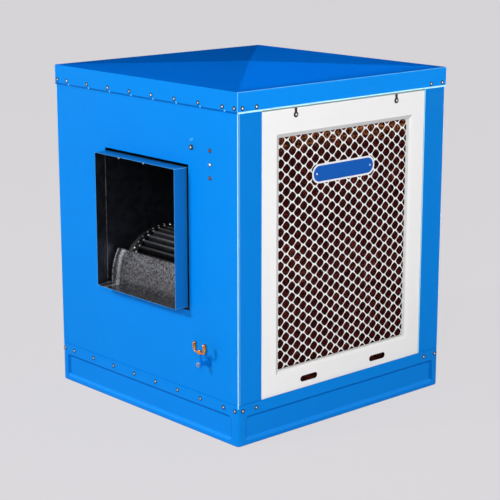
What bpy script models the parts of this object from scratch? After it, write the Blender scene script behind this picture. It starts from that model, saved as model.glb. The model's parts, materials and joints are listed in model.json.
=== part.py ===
"""Evaporative cooler: a square sheet-steel cabinet with an air outlet in its front wall.

Three wetted-pad cassettes stand in the other walls. A belt-driven centrifugal blower draws
air through them, a pump wets them from the water pan, and a float valve keeps the pan full.

Lengths are in metres and +Z is up. The origin is the middle of the underside of the base.
The outlet looks along -Y. The cassettes are on the right (+X), rear (+Y) and left (-X).
"""

import math

import bmesh
import bpy
from mathutils import Matrix, Vector

# Fits
FIT = 0.0003
RUNNING = 0.0003

# Cabinet shell
PLAN = 0.900
SHEET = 0.001
BASE_HEIGHT = 0.130
EAVE_TOP = 1.070
EAVE_DEPTH = 0.063
ROOF_RISE = 0.015
WALL_INSET = 0.004
RECESS_SIDE_MARGIN = 0.030
RECESS_FOOT_MARGIN = 0.0145
RECESS_HEAD_MARGIN = 0.0355
RECESS_DEPTH = 0.006
RECESS_SLOPE = 0.006
SILL_COVER = 0.010
LEDGE_WIDTH = 0.085
LEDGE_DROP = 0.020
POST_WIDTH = 0.095
POST_RETURN = 0.060
POST_LAP = 0.062

# Air outlet
OUTLET_X = 0.0185
OUTLET_ABOVE_BASE = 0.4755
OUTLET_WIDTH = 0.393
OUTLET_HEIGHT = 0.433
COLLAR_REACH = 0.048
CUTOUT_GAP = 0.009

# Pad cassettes
CASSETTE_SIDE_GAP = 0.001
CASSETTE_HEAD_GAP = 0.003
CASSETTE_SET_BACK = 0.0005
FRAME_DEPTH = 0.058
FRAME_SHEET = 0.001
FRAME_SIDE_BORDER = 0.057
FRAME_HEAD_BORDER = 0.073
FRAME_FOOT_BORDER = 0.072
FRAME_BEVEL = 0.0125
FRAME_BEVEL_DEPTH = 0.012
FRAME_BACK_LIP = 0.014
SLOT_LENGTH = 0.072
SLOT_HEIGHT = 0.015
SLOT_SPACING = 0.306
SLOT_RISE = 0.041
WATER_SLOT_LENGTH = 0.600
WATER_SLOT_WIDTH = 0.026
NET_THICKNESS = 0.002
NET_LAP = 0.007
NET_STRAND = 0.010
NET_COLUMNS = 4
NET_ROWS = 7
PLATE_LENGTH = 0.270
PLATE_HEIGHT = 0.060
PLATE_THICKNESS = 0.002
PLATE_RISE = 0.660

# Blower scroll
SCROLL_FRONT_GAP = 0.0055
AXIS_ABOVE_SILL = 0.016
WHEEL_RADIUS = 0.160
WHEEL_WIDTH = 0.306
WHEEL_RING = 0.003
WHEEL_DISC = 0.003
BLADE_DEPTH = 0.022
BLADE_THICKNESS = 0.0016
BLADE_TILT = math.radians(32)
BLADE_COUNT = 24
SCROLL_CLEARANCE = 0.024
SCROLL_LAP_ANGLE = math.radians(14)
CUTOFF_ANGLE = math.radians(38)
CUTOFF_LIP = 0.038
MOUTH_SET_BACK = 0.024
FOOT_SPREAD = 0.145
INLET_RADIUS = 0.140
INLET_THROAT = 0.120
INLET_FLANGE = 0.014
INLET_DEPTH = 0.024

# Blower drive
SHAFT_RADIUS = 0.0125
SHAFT_OVERHANG = 0.010
HUB_RADIUS = 0.026
HUB_LENGTH = 0.060
HUB_FLANGE_RADIUS = 0.050
HUB_FLANGE = 0.004
BRACKET_SHEET = 0.004
BRACKET_MARGIN = 0.002
BRACKET_STANDOFF = 0.046
BRACKET_RUN = 0.022
BRACKET_FOOT = 0.030
BRACKET_RING_GAP = 0.006
BEARING_RADIUS = 0.029
BEARING_FLANGE_RADIUS = 0.040
BEARING_FLANGE = 0.008
BEARING_INNER_LENGTH = 0.014
FAN_PULLEY_RADIUS = 0.130
MOTOR_PULLEY_RADIUS = 0.045
PULLEY_GAP = 0.024
PULLEY_WIDTH = 0.022
PULLEY_RIM = 0.016
PULLEY_WEB = 0.006
PULLEY_HUB_RADIUS = 0.026
PULLEY_HUB_LENGTH = 0.034
GROOVE_DEPTH = 0.010
BELT_WIDTH = 0.010
BELT_THICKNESS = 0.008
BELT_SIDE_GAP = 0.0006

# Rails and motor
RAIL_WIDTH = 0.040
RAIL_HEIGHT = 0.030
RAIL_SHEET = 0.003
RAIL_END_GAP = 0.002
MOTOR_Y = 0.215
MOTOR_RADIUS = 0.072
MOTOR_LENGTH = 0.170
MOTOR_BELL = 0.018
MOTOR_PULLEY_GAP = 0.040
MOTOR_SHAFT_RADIUS = 0.008
STAND_DEPTH = 0.140
STAND_SHEET = 0.004
SADDLE_WIDTH = 0.014
SADDLE_SPACING = 0.110
SADDLE_LENGTH = 0.116
SADDLE_FLOOR = 0.014
SADDLE_WRAP = 0.030

# Water pump and spray
PUMP_SIDE_GAP = 0.009
PUMP_REAR_GAP = 0.019
BASKET_RADIUS = 0.054
BASKET_HEIGHT = 0.074
BASKET_WALL = 0.002
PUMP_COVER = 0.006
PUMP_NECK_RADIUS = 0.016
PUMP_NECK = 0.028
PUMP_MOTOR_RADIUS = 0.034
PUMP_MOTOR_HEIGHT = 0.080
PUMP_SHAFT_RADIUS = 0.004
IMPELLER_RADIUS = 0.030
IMPELLER_HEIGHT = 0.014
IMPELLER_RISE = 0.020
SPIGOT_RADIUS = 0.007
SPIGOT_OFFSET = 0.045
SPIGOT_LENGTH = 0.024
HOSE_RADIUS = 0.009
HOSE_STRAIGHT = 0.026
TROUGH_WALL = 0.002
TROUGH_HEIGHT = 0.030
TROUGH_RISE = 0.004
TROUGH_FRONT_GAP = 0.008
TROUGH_BACK_GAP = 0.004
SPIDER_Y = 0.100
SPIDER_TUBE_RADIUS = 0.006
SPIDER_BODY_RADIUS = 0.016
SPIDER_BODY_HEIGHT = 0.034
SPIDER_OVERHANG = 0.020

# Water inlet, float and drain
INLET_FROM_CORNER = 0.138
INLET_ABOVE_BASE = 0.106
NIPPLE_RADIUS = 0.006
VALVE_FLANGE_RADIUS = 0.014
VALVE_FLANGE = 0.006
VALVE_RADIUS = 0.010
VALVE_LENGTH = 0.030
EAR_LENGTH = 0.016
EAR_THICKNESS = 0.003
EAR_HEIGHT = 0.014
ARM_WIDTH = 0.006
ARM_EYE_RADIUS = 0.005
ARM_PIN_RADIUS = 0.002
ARM_ROD_RADIUS = 0.0025
ARM_RUN = 0.140
ARM_DROP = 0.178
FLOAT_RADIUS = 0.034
LOCK_NUT_RADIUS = 0.014
LOCK_NUT_HEIGHT = 0.006
STOPCOCK_RADIUS = 0.009
STOPCOCK_BORE_RADIUS = 0.005
STOPCOCK_BORE_DEPTH = 0.016
STOPCOCK_LENGTH = 0.034
STOPCOCK_NECK_RADIUS = 0.006
STOPCOCK_NECK_HEIGHT = 0.018
STOPCOCK_NECK_SET_BACK = 0.008
HANDLE_THICKNESS = 0.004
HANDLE_REACH = 0.024
HANDLE_HEIGHT = 0.022
HANDLE_HUB = 0.007
HANDLE_WING = 0.007
DRAIN_FROM_WALL = 0.161
OVERFLOW_RADIUS = 0.010
OVERFLOW_BORE_RADIUS = 0.007
OVERFLOW_HEIGHT = 0.090
OVERFLOW_COLLAR_RADIUS = 0.014
OVERFLOW_COLLAR = 0.005
DRAIN_RADIUS = 0.015
DRAIN_FLANGE_RADIUS = 0.024
DRAIN_FLANGE = 0.006

# Electrical entry
BOX_FROM_CORNER = 0.121
BOX_Z = 0.845
BOX_WIDTH = 0.070
BOX_HEIGHT = 0.130
BOX_DEPTH = 0.050
BOX_WALL = 0.002
GLAND_FROM_CORNER = 0.206
GLAND_Z = 0.886
GLAND_RADIUS = 0.008
GLAND_FLANGE_RADIUS = 0.011
GLAND_FLANGE = 0.006
GLAND_BORE_RADIUS = 0.0045
GLAND_TAIL = 0.012

# Facets of round pieces
FINE_SIDES = 24
ROUND_SIDES = 16
SMALL_SIDES = 12
NUT_SIDES = 6
SLOT_ARC_STEPS = 6
SPIRAL_STEP = math.radians(11)
SPIRAL_ROUNDS = 30
BALL_SUBDIVISIONS = 3
SHARP_ANGLE = math.radians(35)
MERGE = 1e-6

# Places that follow from the sizes above
HALF = PLAN / 2
WALL = HALF - WALL_INSET
EAVE_FOOT = EAVE_TOP - EAVE_DEPTH
WALL_HEAD = EAVE_TOP - SHEET - FIT
LEDGE_TOP = BASE_HEIGHT - SILL_COVER
WALL_FOOT = LEDGE_TOP + FIT
LEDGE_HALF = HALF - SHEET - FIT
PANEL_BACK = -WALL + SHEET
JAMB = WALL - POST_WIDTH

OUTLET_Z = BASE_HEIGHT + OUTLET_ABOVE_BASE
OUTLET_LEFT = OUTLET_X - OUTLET_WIDTH / 2
OUTLET_RIGHT = OUTLET_X + OUTLET_WIDTH / 2
OUTLET_SILL = OUTLET_Z - OUTLET_HEIGHT / 2
OUTLET_HEAD = OUTLET_Z + OUTLET_HEIGHT / 2
COLLAR_FRONT = -WALL - COLLAR_REACH
MOUTH_Y = COLLAR_FRONT + MOUTH_SET_BACK

FRAME_FACE = WALL - CASSETTE_SET_BACK
FRAME_BACK = FRAME_FACE - FRAME_DEPTH
FRAME_HALF = JAMB - CASSETTE_SIDE_GAP
FRAME_HEAD = EAVE_FOOT - CASSETTE_HEAD_GAP
FRAME_FOOT = WALL_FOOT
HINGE_Z = BASE_HEIGHT
NET_FACE = FRAME_BEVEL_DEPTH + FRAME_SHEET + FIT

SCROLL_LEFT = OUTLET_LEFT + SHEET + FIT
SCROLL_RIGHT = OUTLET_RIGHT - SHEET - FIT
SCROLL_HEAD = OUTLET_HEAD - SHEET - FIT
SCROLL_SILL = OUTLET_SILL + SHEET + FIT
WRAP_LEFT = SCROLL_LEFT + SHEET + FIT
WRAP_RIGHT = SCROLL_RIGHT - SHEET - FIT
AXIS_Z = OUTLET_SILL + AXIS_ABOVE_SILL
SCROLL_START = WHEEL_RADIUS + SCROLL_CLEARANCE
AXIS_Y = PANEL_BACK + SCROLL_FRONT_GAP + SCROLL_START

RAIL_TOP = WALL_FOOT + RAIL_HEIGHT
STAND_FOOT = RAIL_TOP + FIT
MOTOR_Z = STAND_FOOT + STAND_SHEET + SADDLE_FLOOR + MOTOR_RADIUS

BRACKET_WIDTH = 2 * (BEARING_FLANGE_RADIUS + BRACKET_MARGIN)
BRACKET_FACE = BRACKET_STANDOFF + BRACKET_SHEET + FIT
BEARING_END = BRACKET_FACE + FIT + BEARING_FLANGE
PULLEY_X = SCROLL_LEFT - BEARING_END - PULLEY_GAP - PULLEY_WIDTH / 2
SHAFT_LEFT = PULLEY_X - PULLEY_HUB_LENGTH / 2 - SHAFT_OVERHANG
SHAFT_RIGHT = SCROLL_RIGHT + BEARING_END + SHAFT_OVERHANG
MOTOR_LEFT = PULLEY_X + PULLEY_WIDTH / 2 + MOTOR_PULLEY_GAP
MOTOR_RIGHT = MOTOR_LEFT + MOTOR_LENGTH

PAN_FLOOR = SHEET
PUMP_X = LEDGE_HALF - LEDGE_WIDTH - PUMP_SIDE_GAP - BASKET_RADIUS
PUMP_Y = LEDGE_HALF - LEDGE_WIDTH - PUMP_REAR_GAP - BASKET_RADIUS
BASKET_FOOT = PAN_FLOOR + FIT
BASKET_TOP = BASKET_FOOT + BASKET_HEIGHT
COVER_FOOT = BASKET_TOP + FIT
COVER_TOP = COVER_FOOT + PUMP_COVER
PUMP_TOP = COVER_TOP + PUMP_NECK + PUMP_MOTOR_HEIGHT
SPIGOT_TOP = COVER_TOP + SPIGOT_LENGTH
TROUGH_FOOT = EAVE_FOOT + TROUGH_RISE
TROUGH_TOP = TROUGH_FOOT + TROUGH_HEIGHT
TROUGH_BACK = FRAME_BACK + TROUGH_BACK_GAP
TROUGH_FRONT = WALL - TROUGH_FRONT_GAP
SPIDER_Z = TROUGH_TOP + FIT + SPIDER_TUBE_RADIUS
SPIDER_BODY_TOP = SPIDER_Z + SPIDER_TUBE_RADIUS
SPIDER_BODY_FOOT = SPIDER_BODY_TOP - SPIDER_BODY_HEIGHT
HOSE_END = SPIDER_BODY_FOOT - SPIGOT_LENGTH - FIT

INLET_X = WALL - INLET_FROM_CORNER
INLET_Z = BASE_HEIGHT + INLET_ABOVE_BASE
VALVE_FACE = PANEL_BACK + FIT
VALVE_TAIL = VALVE_FACE + VALVE_FLANGE + VALVE_LENGTH
PIVOT_Y = VALVE_TAIL + EAR_LENGTH / 2
NUT_FRONT = -WALL - FIT - LOCK_NUT_HEIGHT
STOPCOCK_BACK = NUT_FRONT - FIT
STOPCOCK_FRONT = STOPCOCK_BACK - STOPCOCK_LENGTH
HANDLE_Y = STOPCOCK_FRONT + STOPCOCK_NECK_SET_BACK
HANDLE_FOOT = INLET_Z + STOPCOCK_NECK_HEIGHT + FIT

DRAIN_X = DRAIN_FROM_WALL - WALL
DRAIN_Y = DRAIN_FROM_WALL - WALL
BOX_X = WALL - BOX_FROM_CORNER
GLAND_X = WALL - GLAND_FROM_CORNER

SIDES = {"right": 0.0, "rear": math.pi / 2, "left": math.pi}

# The riser hose, from the pump's spigot up to the spider
HOSE_ROUTE = (
    (PUMP_X - SPIGOT_OFFSET, PUMP_Y, SPIGOT_TOP + FIT),
    (PUMP_X - SPIGOT_OFFSET, PUMP_Y, 0.200),
    (0.258, 0.292, 0.420),
    (0.236, 0.276, 0.610),
    (0.160, 0.220, 0.750),
    (0.066, 0.150, 0.830),
    (0.014, 0.110, 0.890),
    (0.000, SPIDER_Y, HOSE_END - 2 * HOSE_STRAIGHT),
    (0.000, SPIDER_Y, HOSE_END - HOSE_STRAIGHT),
    (0.000, SPIDER_Y, HOSE_END),
)
HOSE_STEPS_PER_LEG = 4

FINISHES = {
    "cabinet_blue": ((0.010, 0.270, 0.870), 0.35, 0.0),
    "frame_white": ((0.840, 0.830, 0.820), 0.45, 0.0),
    "pad_brown": ((0.160, 0.060, 0.040), 0.95, 0.0),
    "plate_blue": ((0.010, 0.090, 0.420), 0.35, 0.0),
    "galvanised": ((0.560, 0.570, 0.590), 0.40, 0.9),
    "steel": ((0.500, 0.500, 0.520), 0.35, 1.0),
    "brass": ((0.780, 0.420, 0.120), 0.35, 1.0),
    "black_plastic": ((0.030, 0.030, 0.035), 0.50, 0.0),
    "rubber": ((0.020, 0.020, 0.020), 0.80, 0.0),
    "motor_grey": ((0.180, 0.190, 0.210), 0.50, 0.3),
    "float_red": ((0.620, 0.120, 0.060), 0.45, 0.0),
}


# General helpers


def clear_scene():
    """Remove every object that the file opened with."""
    for obj in list(bpy.data.objects):
        bpy.data.objects.remove(obj, do_unlink=True)


def finish(name):
    """The material of that name, made the first time it is asked for."""
    found = bpy.data.materials.get(name)
    if found:
        return found
    colour, roughness, metallic = FINISHES[name]
    made = bpy.data.materials.new(name)
    made.use_nodes = True
    shader = made.node_tree.nodes["Principled BSDF"]
    shader.inputs["Base Color"].default_value = (*colour, 1.0)
    shader.inputs["Roughness"].default_value = roughness
    shader.inputs["Metallic"].default_value = metallic
    return made


def empty(name, location=(0.0, 0.0, 0.0), turn=0.0, parent=None):
    """An empty that carries other objects, turned about Z."""
    obj = bpy.data.objects.new(name, None)
    bpy.context.collection.objects.link(obj)
    obj.location = location
    obj.rotation_euler = (0.0, 0.0, turn)
    obj.parent = parent
    return obj


def add(name, shape, surface, parent=None, smooth=False):
    """Link an object made from a bmesh, or from a finished mesh that others share."""
    if isinstance(shape, bmesh.types.BMesh):
        mesh = bpy.data.meshes.new(name)
        shape.to_mesh(mesh)
        shape.free()
        mesh.materials.append(finish(surface))
    else:
        mesh = shape
    obj = bpy.data.objects.new(name, mesh)
    bpy.context.collection.objects.link(obj)
    obj.parent = parent
    if smooth:
        mesh.shade_smooth()
        mesh.set_sharp_from_angle(angle=SHARP_ANGLE)
    return obj


def thicken(obj, thickness):
    """Give an open skin a wall that grows inwards from it."""
    wall = obj.modifiers.new("Sheet", "SOLIDIFY")
    wall.thickness = thickness
    wall.offset = -1.0
    wall.use_even_offset = True
    return obj


def boolean(target, shape, operation="DIFFERENCE"):
    """Cut a shape from an object, or join it on, in the object's own frame."""
    name = f"{target.name}_{operation.lower()}_{len(target.modifiers)}"
    tool = add(name, shape, "steel", target.parent)
    tool.hide_render = True
    tool.display_type = "WIRE"
    step = target.modifiers.new(name, "BOOLEAN")
    step.operation = operation
    step.solver = "EXACT"
    step.object = tool
    return target


def place(axis, along, u, v):
    """The point at (u, v) across an axis, some way along it."""
    return {"X": (along, u, v), "Y": (u, along, v), "Z": (u, v, along)}[axis]


def settle(bm):
    """Merge coincident points and turn every face outwards."""
    bmesh.ops.remove_doubles(bm, verts=bm.verts[:], dist=MERGE)
    bmesh.ops.recalc_face_normals(bm, faces=bm.faces[:])
    return bm


def prism(outline, axis, low, high, bm=None):
    """A flat outline of (u, v) points drawn out along an axis."""
    bm = bm or bmesh.new()
    face = bm.faces.new([bm.verts.new(place(axis, low, u, v)) for u, v in outline])
    grown = bmesh.ops.extrude_face_region(bm, geom=[face])["geom"]
    moved = [item for item in grown if isinstance(item, bmesh.types.BMVert)]
    bmesh.ops.translate(bm, verts=moved, vec=place(axis, high - low, 0.0, 0.0))
    return settle(bm)


def bridge(bm, first, second):
    """Quads between two closed loops with as many points each."""
    following = list(zip(first, first[1:] + first[:1], second[1:] + second[:1], second))
    for corners in following:
        bm.faces.new(corners)


def ring_prism(outer, inner, axis, low, high):
    """A band between two closed outlines, drawn out along an axis."""
    bm = bmesh.new()
    corners = ((outer, low), (outer, high), (inner, high), (inner, low))
    loops = [[bm.verts.new(place(axis, at, u, v)) for u, v in line] for line, at in corners]
    for near, far in zip(loops, loops[1:] + loops[:1]):
        bridge(bm, near, far)
    return settle(bm)


def box(low, high, bm=None):
    """A block between two opposite corners."""
    bm = bm or bmesh.new()
    low, high = Vector(low), Vector(high)
    size = Matrix.Diagonal((*(high - low), 1.0))
    bmesh.ops.create_cube(bm, size=1.0, matrix=Matrix.Translation((low + high) / 2) @ size)
    return bm


def open_box(low, high, way):
    """The skin of a block without the face that looks the given way."""
    bm = box(low, high)
    bm.normal_update()
    gone = [face for face in bm.faces if face.normal.dot(Vector(way)) > 0.5]
    bmesh.ops.delete(bm, geom=gone, context="FACES")
    return bm


def turned(profile, axis, sides, centre=(0.0, 0.0)):
    """A closed profile of (along, radius) points turned once about an axis."""
    bm = bmesh.new()
    points = [bm.verts.new(place(axis, at, centre[0] + r, centre[1])) for at, r in profile]
    pairs = list(zip(points, points[1:]))
    if profile[0][1] > 0.0:
        pairs.append((points[-1], points[0]))
    edges = [bm.edges.new(pair) for pair in pairs]
    bmesh.ops.spin(
        bm,
        geom=points + edges,
        cent=place(axis, 0.0, *centre),
        axis=place(axis, 1.0, 0.0, 0.0),
        angle=2 * math.pi,
        steps=sides,
        use_merge=True,
    )
    return settle(bm)


def rod(radius, axis, low, high, sides, centre=(0.0, 0.0)):
    """A solid round bar."""
    profile = ((low, 0.0), (low, radius), (high, radius), (high, 0.0))
    return turned(profile, axis, sides, centre)


def tube(outer, inner, axis, low, high, sides, centre=(0.0, 0.0)):
    """A round bar with a bore right through it."""
    profile = ((low, inner), (low, outer), (high, outer), (high, inner))
    return turned(profile, axis, sides, centre)


def clear_of(radius, sides, gap=FIT):
    """The corner radius of a faceted bore that stays clear of a round bar turning in it."""
    return (radius + gap) / math.cos(math.pi / sides)


def folded(path, thickness):
    """The closed outline of a strip bent along a path, thickened to the path's left."""
    points = [Vector(point) for point in path]
    ways = [(b - a).normalized() for a, b in zip(points, points[1:])]
    lefts = [Vector((-way.y, way.x)) for way in ways]
    shifted = []
    for index, point in enumerate(points):
        before = lefts[max(index - 1, 0)]
        after = lefts[min(index, len(lefts) - 1)]
        mitre = before + after
        shifted.append(point + mitre * (2 * thickness / mitre.length_squared))
    return [tuple(point) for point in points + shifted[::-1]]


def rectangle(u_low, v_low, u_high, v_high):
    """The four corners of a rectangle, counter-clockwise."""
    return [(u_low, v_low), (u_high, v_low), (u_high, v_high), (u_low, v_high)]


def square(half):
    """The corners of a square about the origin."""
    return rectangle(-half, -half, half, half)


def skin(loops, axis):
    """An open skin through successive closed outlines, each with its place along the axis."""
    bm = bmesh.new()
    rings = [[bm.verts.new(place(axis, at, u, v)) for u, v in line] for line, at in loops]
    for near, far in zip(rings, rings[1:]):
        bridge(bm, near, far)
    return bm, rings


def evaluated_mesh(obj):
    """The finished mesh of an object with its modifiers, for several objects to share."""
    graph = bpy.context.evaluated_depsgraph_get()
    return bpy.data.meshes.new_from_object(obj.evaluated_get(graph))


# Cabinet shell


def base_tray(cabinet):
    """The water pan: floor, four skirt walls with a pressed recess each, and an in-turned rim."""
    bm = bmesh.new()
    head = BASE_HEIGHT - RECESS_HEAD_MARGIN
    side = HALF - RECESS_SIDE_MARGIN
    outer = rectangle(-HALF, 0.0, HALF, BASE_HEIGHT)
    edge = rectangle(-side, RECESS_FOOT_MARGIN, side, head)
    sunk_side = side - RECESS_SLOPE
    sunk = rectangle(
        -sunk_side, RECESS_FOOT_MARGIN + RECESS_SLOPE, sunk_side, head - RECESS_SLOPE
    )
    levels = ((outer, HALF), (edge, HALF), (sunk, HALF - RECESS_DEPTH))
    for quarter in range(4):
        turn = Matrix.Rotation(quarter * math.pi / 2, 3, "Z")
        rings = [
            [bm.verts.new(turn @ Vector((depth, u, v))) for u, v in line]
            for line, depth in levels
        ]
        bridge(bm, rings[0], rings[1])
        bridge(bm, rings[1], rings[2])
        bm.faces.new(rings[2])
    bm.faces.new([bm.verts.new((u, v, 0.0)) for u, v in reversed(square(HALF))])
    rim = [[bm.verts.new((u, v, BASE_HEIGHT)) for u, v in square(half)] for half in (HALF, WALL + FIT)]
    bridge(bm, *rim)
    bmesh.ops.remove_doubles(bm, verts=bm.verts[:], dist=MERGE)
    tray = thicken(add("base_tray", bm, "cabinet_blue", cabinet), SHEET)
    hole = clear_of(DRAIN_RADIUS, ROUND_SIDES)
    boolean(tray, rod(hole, "Z", -SHEET, 2 * SHEET, ROUND_SIDES, (DRAIN_X, DRAIN_Y)))


def pan_ledge(cabinet):
    """The angle ring inside the pan that the walls, cassettes and blower rails stand on."""
    loops = (
        (square(LEDGE_HALF), LEDGE_TOP - LEDGE_DROP),
        (square(LEDGE_HALF), LEDGE_TOP),
        (square(LEDGE_HALF - LEDGE_WIDTH), LEDGE_TOP),
    )
    thicken(add("pan_ledge", skin(loops, "Z")[0], "galvanised", cabinet), SHEET)


def roof(cabinet):
    """The cross-broken top sheet, its eave flange and the drip lip under the flange."""
    loops = (
        (square(WALL + FIT), EAVE_FOOT),
        (square(HALF), EAVE_FOOT),
        (square(HALF), EAVE_TOP),
    )
    bm, rings = skin(loops, "Z")
    apex = bm.verts.new((0.0, 0.0, EAVE_TOP + ROOF_RISE))
    eave = rings[-1]
    for first, second in zip(eave, eave[1:] + eave[:1]):
        bm.faces.new((first, second, apex))
    thicken(add("roof", bm, "cabinet_blue", cabinet), SHEET)


def outlet_panel(cabinet):
    """The front wall with its cut-out for the outlet and its two round holes."""
    outline = rectangle(-WALL, WALL_FOOT, WALL, WALL_HEAD)
    panel = add("outlet_panel", prism(outline, "Y", -WALL, PANEL_BACK), "cabinet_blue", cabinet)
    front, back = -WALL - SHEET, PANEL_BACK + SHEET
    low = (OUTLET_LEFT - CUTOUT_GAP, front, OUTLET_SILL - CUTOUT_GAP)
    high = (OUTLET_RIGHT + CUTOUT_GAP, back, OUTLET_HEAD + CUTOUT_GAP)
    boolean(panel, box(low, high))
    nipple = clear_of(NIPPLE_RADIUS, SMALL_SIDES)
    boolean(panel, rod(nipple, "Y", front, back, SMALL_SIDES, (INLET_X, INLET_Z)))
    gland = clear_of(GLAND_RADIUS, SMALL_SIDES)
    boolean(panel, rod(gland, "Y", front, back, SMALL_SIDES, (GLAND_X, GLAND_Z)))


def outlet_collar(cabinet):
    """The sleeve that stands out of the front wall round the blower's mouth."""
    line = rectangle(OUTLET_LEFT, OUTLET_SILL, OUTLET_RIGHT, OUTLET_HEAD)
    bm, _ = skin(((line, PANEL_BACK), (line, COLLAR_FRONT)), "Y")
    thicken(add("outlet_collar", bm, "cabinet_blue", cabinet), SHEET)


def corner_posts(cabinet):
    """Four folded posts. The front ones lap behind the front wall."""
    rear = folded(
        [
            (WALL - POST_RETURN, JAMB),
            (WALL, JAMB),
            (WALL, WALL),
            (JAMB, WALL),
            (JAMB, WALL - POST_RETURN),
        ],
        SHEET,
    )
    lap = PANEL_BACK + FIT
    front = folded(
        [(WALL - POST_LAP, lap), (WALL, lap), (WALL, -JAMB), (WALL - POST_RETURN, -JAMB)], SHEET
    )
    outlines = {
        "post_rear_right": rear,
        "post_rear_left": [(-x, y) for x, y in rear],
        "post_front_right": front,
        "post_front_left": [(-x, y) for x, y in front],
    }
    for name, outline in outlines.items():
        add(name, prism(outline, "Z", WALL_FOOT, WALL_HEAD), "cabinet_blue", cabinet)


# Pad cassettes, in a frame with +X out of the wall and the hinge line at the origin


def frame_mesh(hinge):
    """The pressed pad frame with its finger slots and its slots for water above and below."""
    foot, head = FRAME_FOOT - HINGE_Z, FRAME_HEAD - HINGE_Z
    half, lip = FRAME_HALF, FRAME_BACK_LIP
    opening = rectangle(
        -half + FRAME_SIDE_BORDER,
        foot + FRAME_FOOT_BORDER,
        half - FRAME_SIDE_BORDER,
        head - FRAME_HEAD_BORDER,
    )
    (left, low), _, (right, high), _ = opening
    bevel = FRAME_BEVEL
    loops = (
        (rectangle(-half + lip, foot + lip, half - lip, head - lip), -FRAME_DEPTH),
        (rectangle(-half, foot, half, head), -FRAME_DEPTH),
        (rectangle(-half, foot, half, head), 0.0),
        (opening, 0.0),
        (rectangle(left + bevel, low + bevel, right - bevel, high - bevel), -FRAME_BEVEL_DEPTH),
    )
    frame = thicken(add("frame_pattern", skin(loops, "X")[0], "frame_white", hinge), FRAME_SHEET)
    straight = (SLOT_LENGTH - SLOT_HEIGHT) / 2
    for middle in (-SLOT_SPACING / 2, SLOT_SPACING / 2):
        outline = stadium(straight, SLOT_HEIGHT / 2, middle, foot + SLOT_RISE)
        boolean(frame, prism(outline, "X", -2 * FRAME_SHEET, FRAME_SHEET))
    middle = -FRAME_DEPTH / 2
    for level in (foot, head):
        low = (middle - WATER_SLOT_WIDTH / 2, -WATER_SLOT_LENGTH / 2, level - 2 * FRAME_SHEET)
        high = (middle + WATER_SLOT_WIDTH / 2, WATER_SLOT_LENGTH / 2, level + 2 * FRAME_SHEET)
        boolean(frame, box(low, high))
    mesh = evaluated_mesh(frame)
    for step in frame.modifiers[:]:
        if step.type == "BOOLEAN":
            bpy.data.objects.remove(step.object, do_unlink=True)
    bpy.data.objects.remove(frame, do_unlink=True)
    return mesh


def stadium(straight, radius, u, v):
    """A slot outline: two half circles joined by straight sides, centred on (u, v)."""
    points = []
    for reach, start in ((straight, -math.pi / 2), (-straight, math.pi / 2)):
        for step in range(SLOT_ARC_STEPS + 1):
            angle = start + math.pi * step / SLOT_ARC_STEPS
            points.append((u + reach + radius * math.cos(angle), v + radius * math.sin(angle)))
    return points


def opening_of_frame():
    """The clear opening inside the frame's bevel: half width, foot and head."""
    half = FRAME_HALF - FRAME_SIDE_BORDER - FRAME_BEVEL
    foot = FRAME_FOOT - HINGE_Z + FRAME_FOOT_BORDER + FRAME_BEVEL
    head = FRAME_HEAD - HINGE_Z - FRAME_HEAD_BORDER - FRAME_BEVEL
    return half, foot, head


def net_shape():
    """A flat net of diamonds, cut square at its edges, one strand wide between the gaps."""
    half, foot, head = opening_of_frame()
    half, foot, head = half + NET_LAP, foot - NET_LAP, head + NET_LAP
    wide, tall = 2 * NET_COLUMNS, 2 * NET_ROWS
    bm = bmesh.new()
    nodes = {}

    def node(i, j):
        if (i, j) not in nodes:
            across = -half + 2 * half * i / wide
            up = foot + (head - foot) * j / tall
            nodes[i, j] = bm.verts.new((-NET_FACE, across, up))
        return nodes[i, j]

    for i in range(wide + 1):
        for j in range(i % 2, tall + 1, 2):
            around = ((i + 1, j), (i, j + 1), (i - 1, j), (i, j - 1))
            corners = [(a, b) for a, b in around if 0 <= a <= wide and 0 <= b <= tall]
            if len(corners) == 2:
                corners.append((i, j))
            bm.faces.new([node(a, b) for a, b in corners])
    bmesh.ops.recalc_face_normals(bm, faces=bm.faces[:])
    if bm.faces[:][0].normal.x < 0:
        bmesh.ops.reverse_faces(bm, faces=bm.faces[:])
    gaps = bm.faces[:]
    bmesh.ops.inset_individual(bm, faces=gaps, thickness=NET_STRAND / 2, use_even_offset=True)
    bmesh.ops.delete(bm, geom=gaps, context="FACES")
    return bm


def cassettes(cabinet):
    """Three cassettes: frame, net and pad, each on a hinge line along its foot."""
    low = (
        -FRAME_DEPTH + FRAME_SHEET + FIT,
        -FRAME_HALF + FRAME_SHEET + FIT,
        FRAME_FOOT - HINGE_Z + FRAME_SHEET + FIT,
    )
    high = (
        -NET_FACE - NET_THICKNESS - FIT,
        FRAME_HALF - FRAME_SHEET - FIT,
        FRAME_HEAD - HINGE_Z - FRAME_SHEET - FIT,
    )
    frame = None
    for side, turn in SIDES.items():
        wall = empty(f"wall_{side}", turn=turn, parent=cabinet)
        hinge = empty(f"pad_hinge_{side}", (FRAME_FACE, 0.0, HINGE_Z), parent=wall)
        frame = frame or frame_mesh(hinge)
        add(f"pad_frame_{side}", frame, "frame_white", hinge)
        thicken(add(f"pad_net_{side}", net_shape(), "frame_white", hinge), NET_THICKNESS)
        add(f"cooling_pad_{side}", box(low, high), "pad_brown", hinge)
        water_trough(side, wall)
        if side == "right":
            name_plate(hinge)


def name_plate(hinge):
    """The bare plate on the right cassette's net."""
    radius = PLATE_HEIGHT / 2
    outline = stadium(PLATE_LENGTH / 2 - radius, radius, 0.0, PLATE_RISE)
    back = -NET_FACE + FIT
    add("name_plate", prism(outline, "X", back, back + PLATE_THICKNESS), "plate_blue", hinge)


# Blower scroll, drawn in the (y, z) plane


def on_axis(radius, angle):
    """The point at a radius and an angle above the forward direction of the blower axis."""
    return AXIS_Y - radius * math.cos(angle), AXIS_Z + radius * math.sin(angle)


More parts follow.
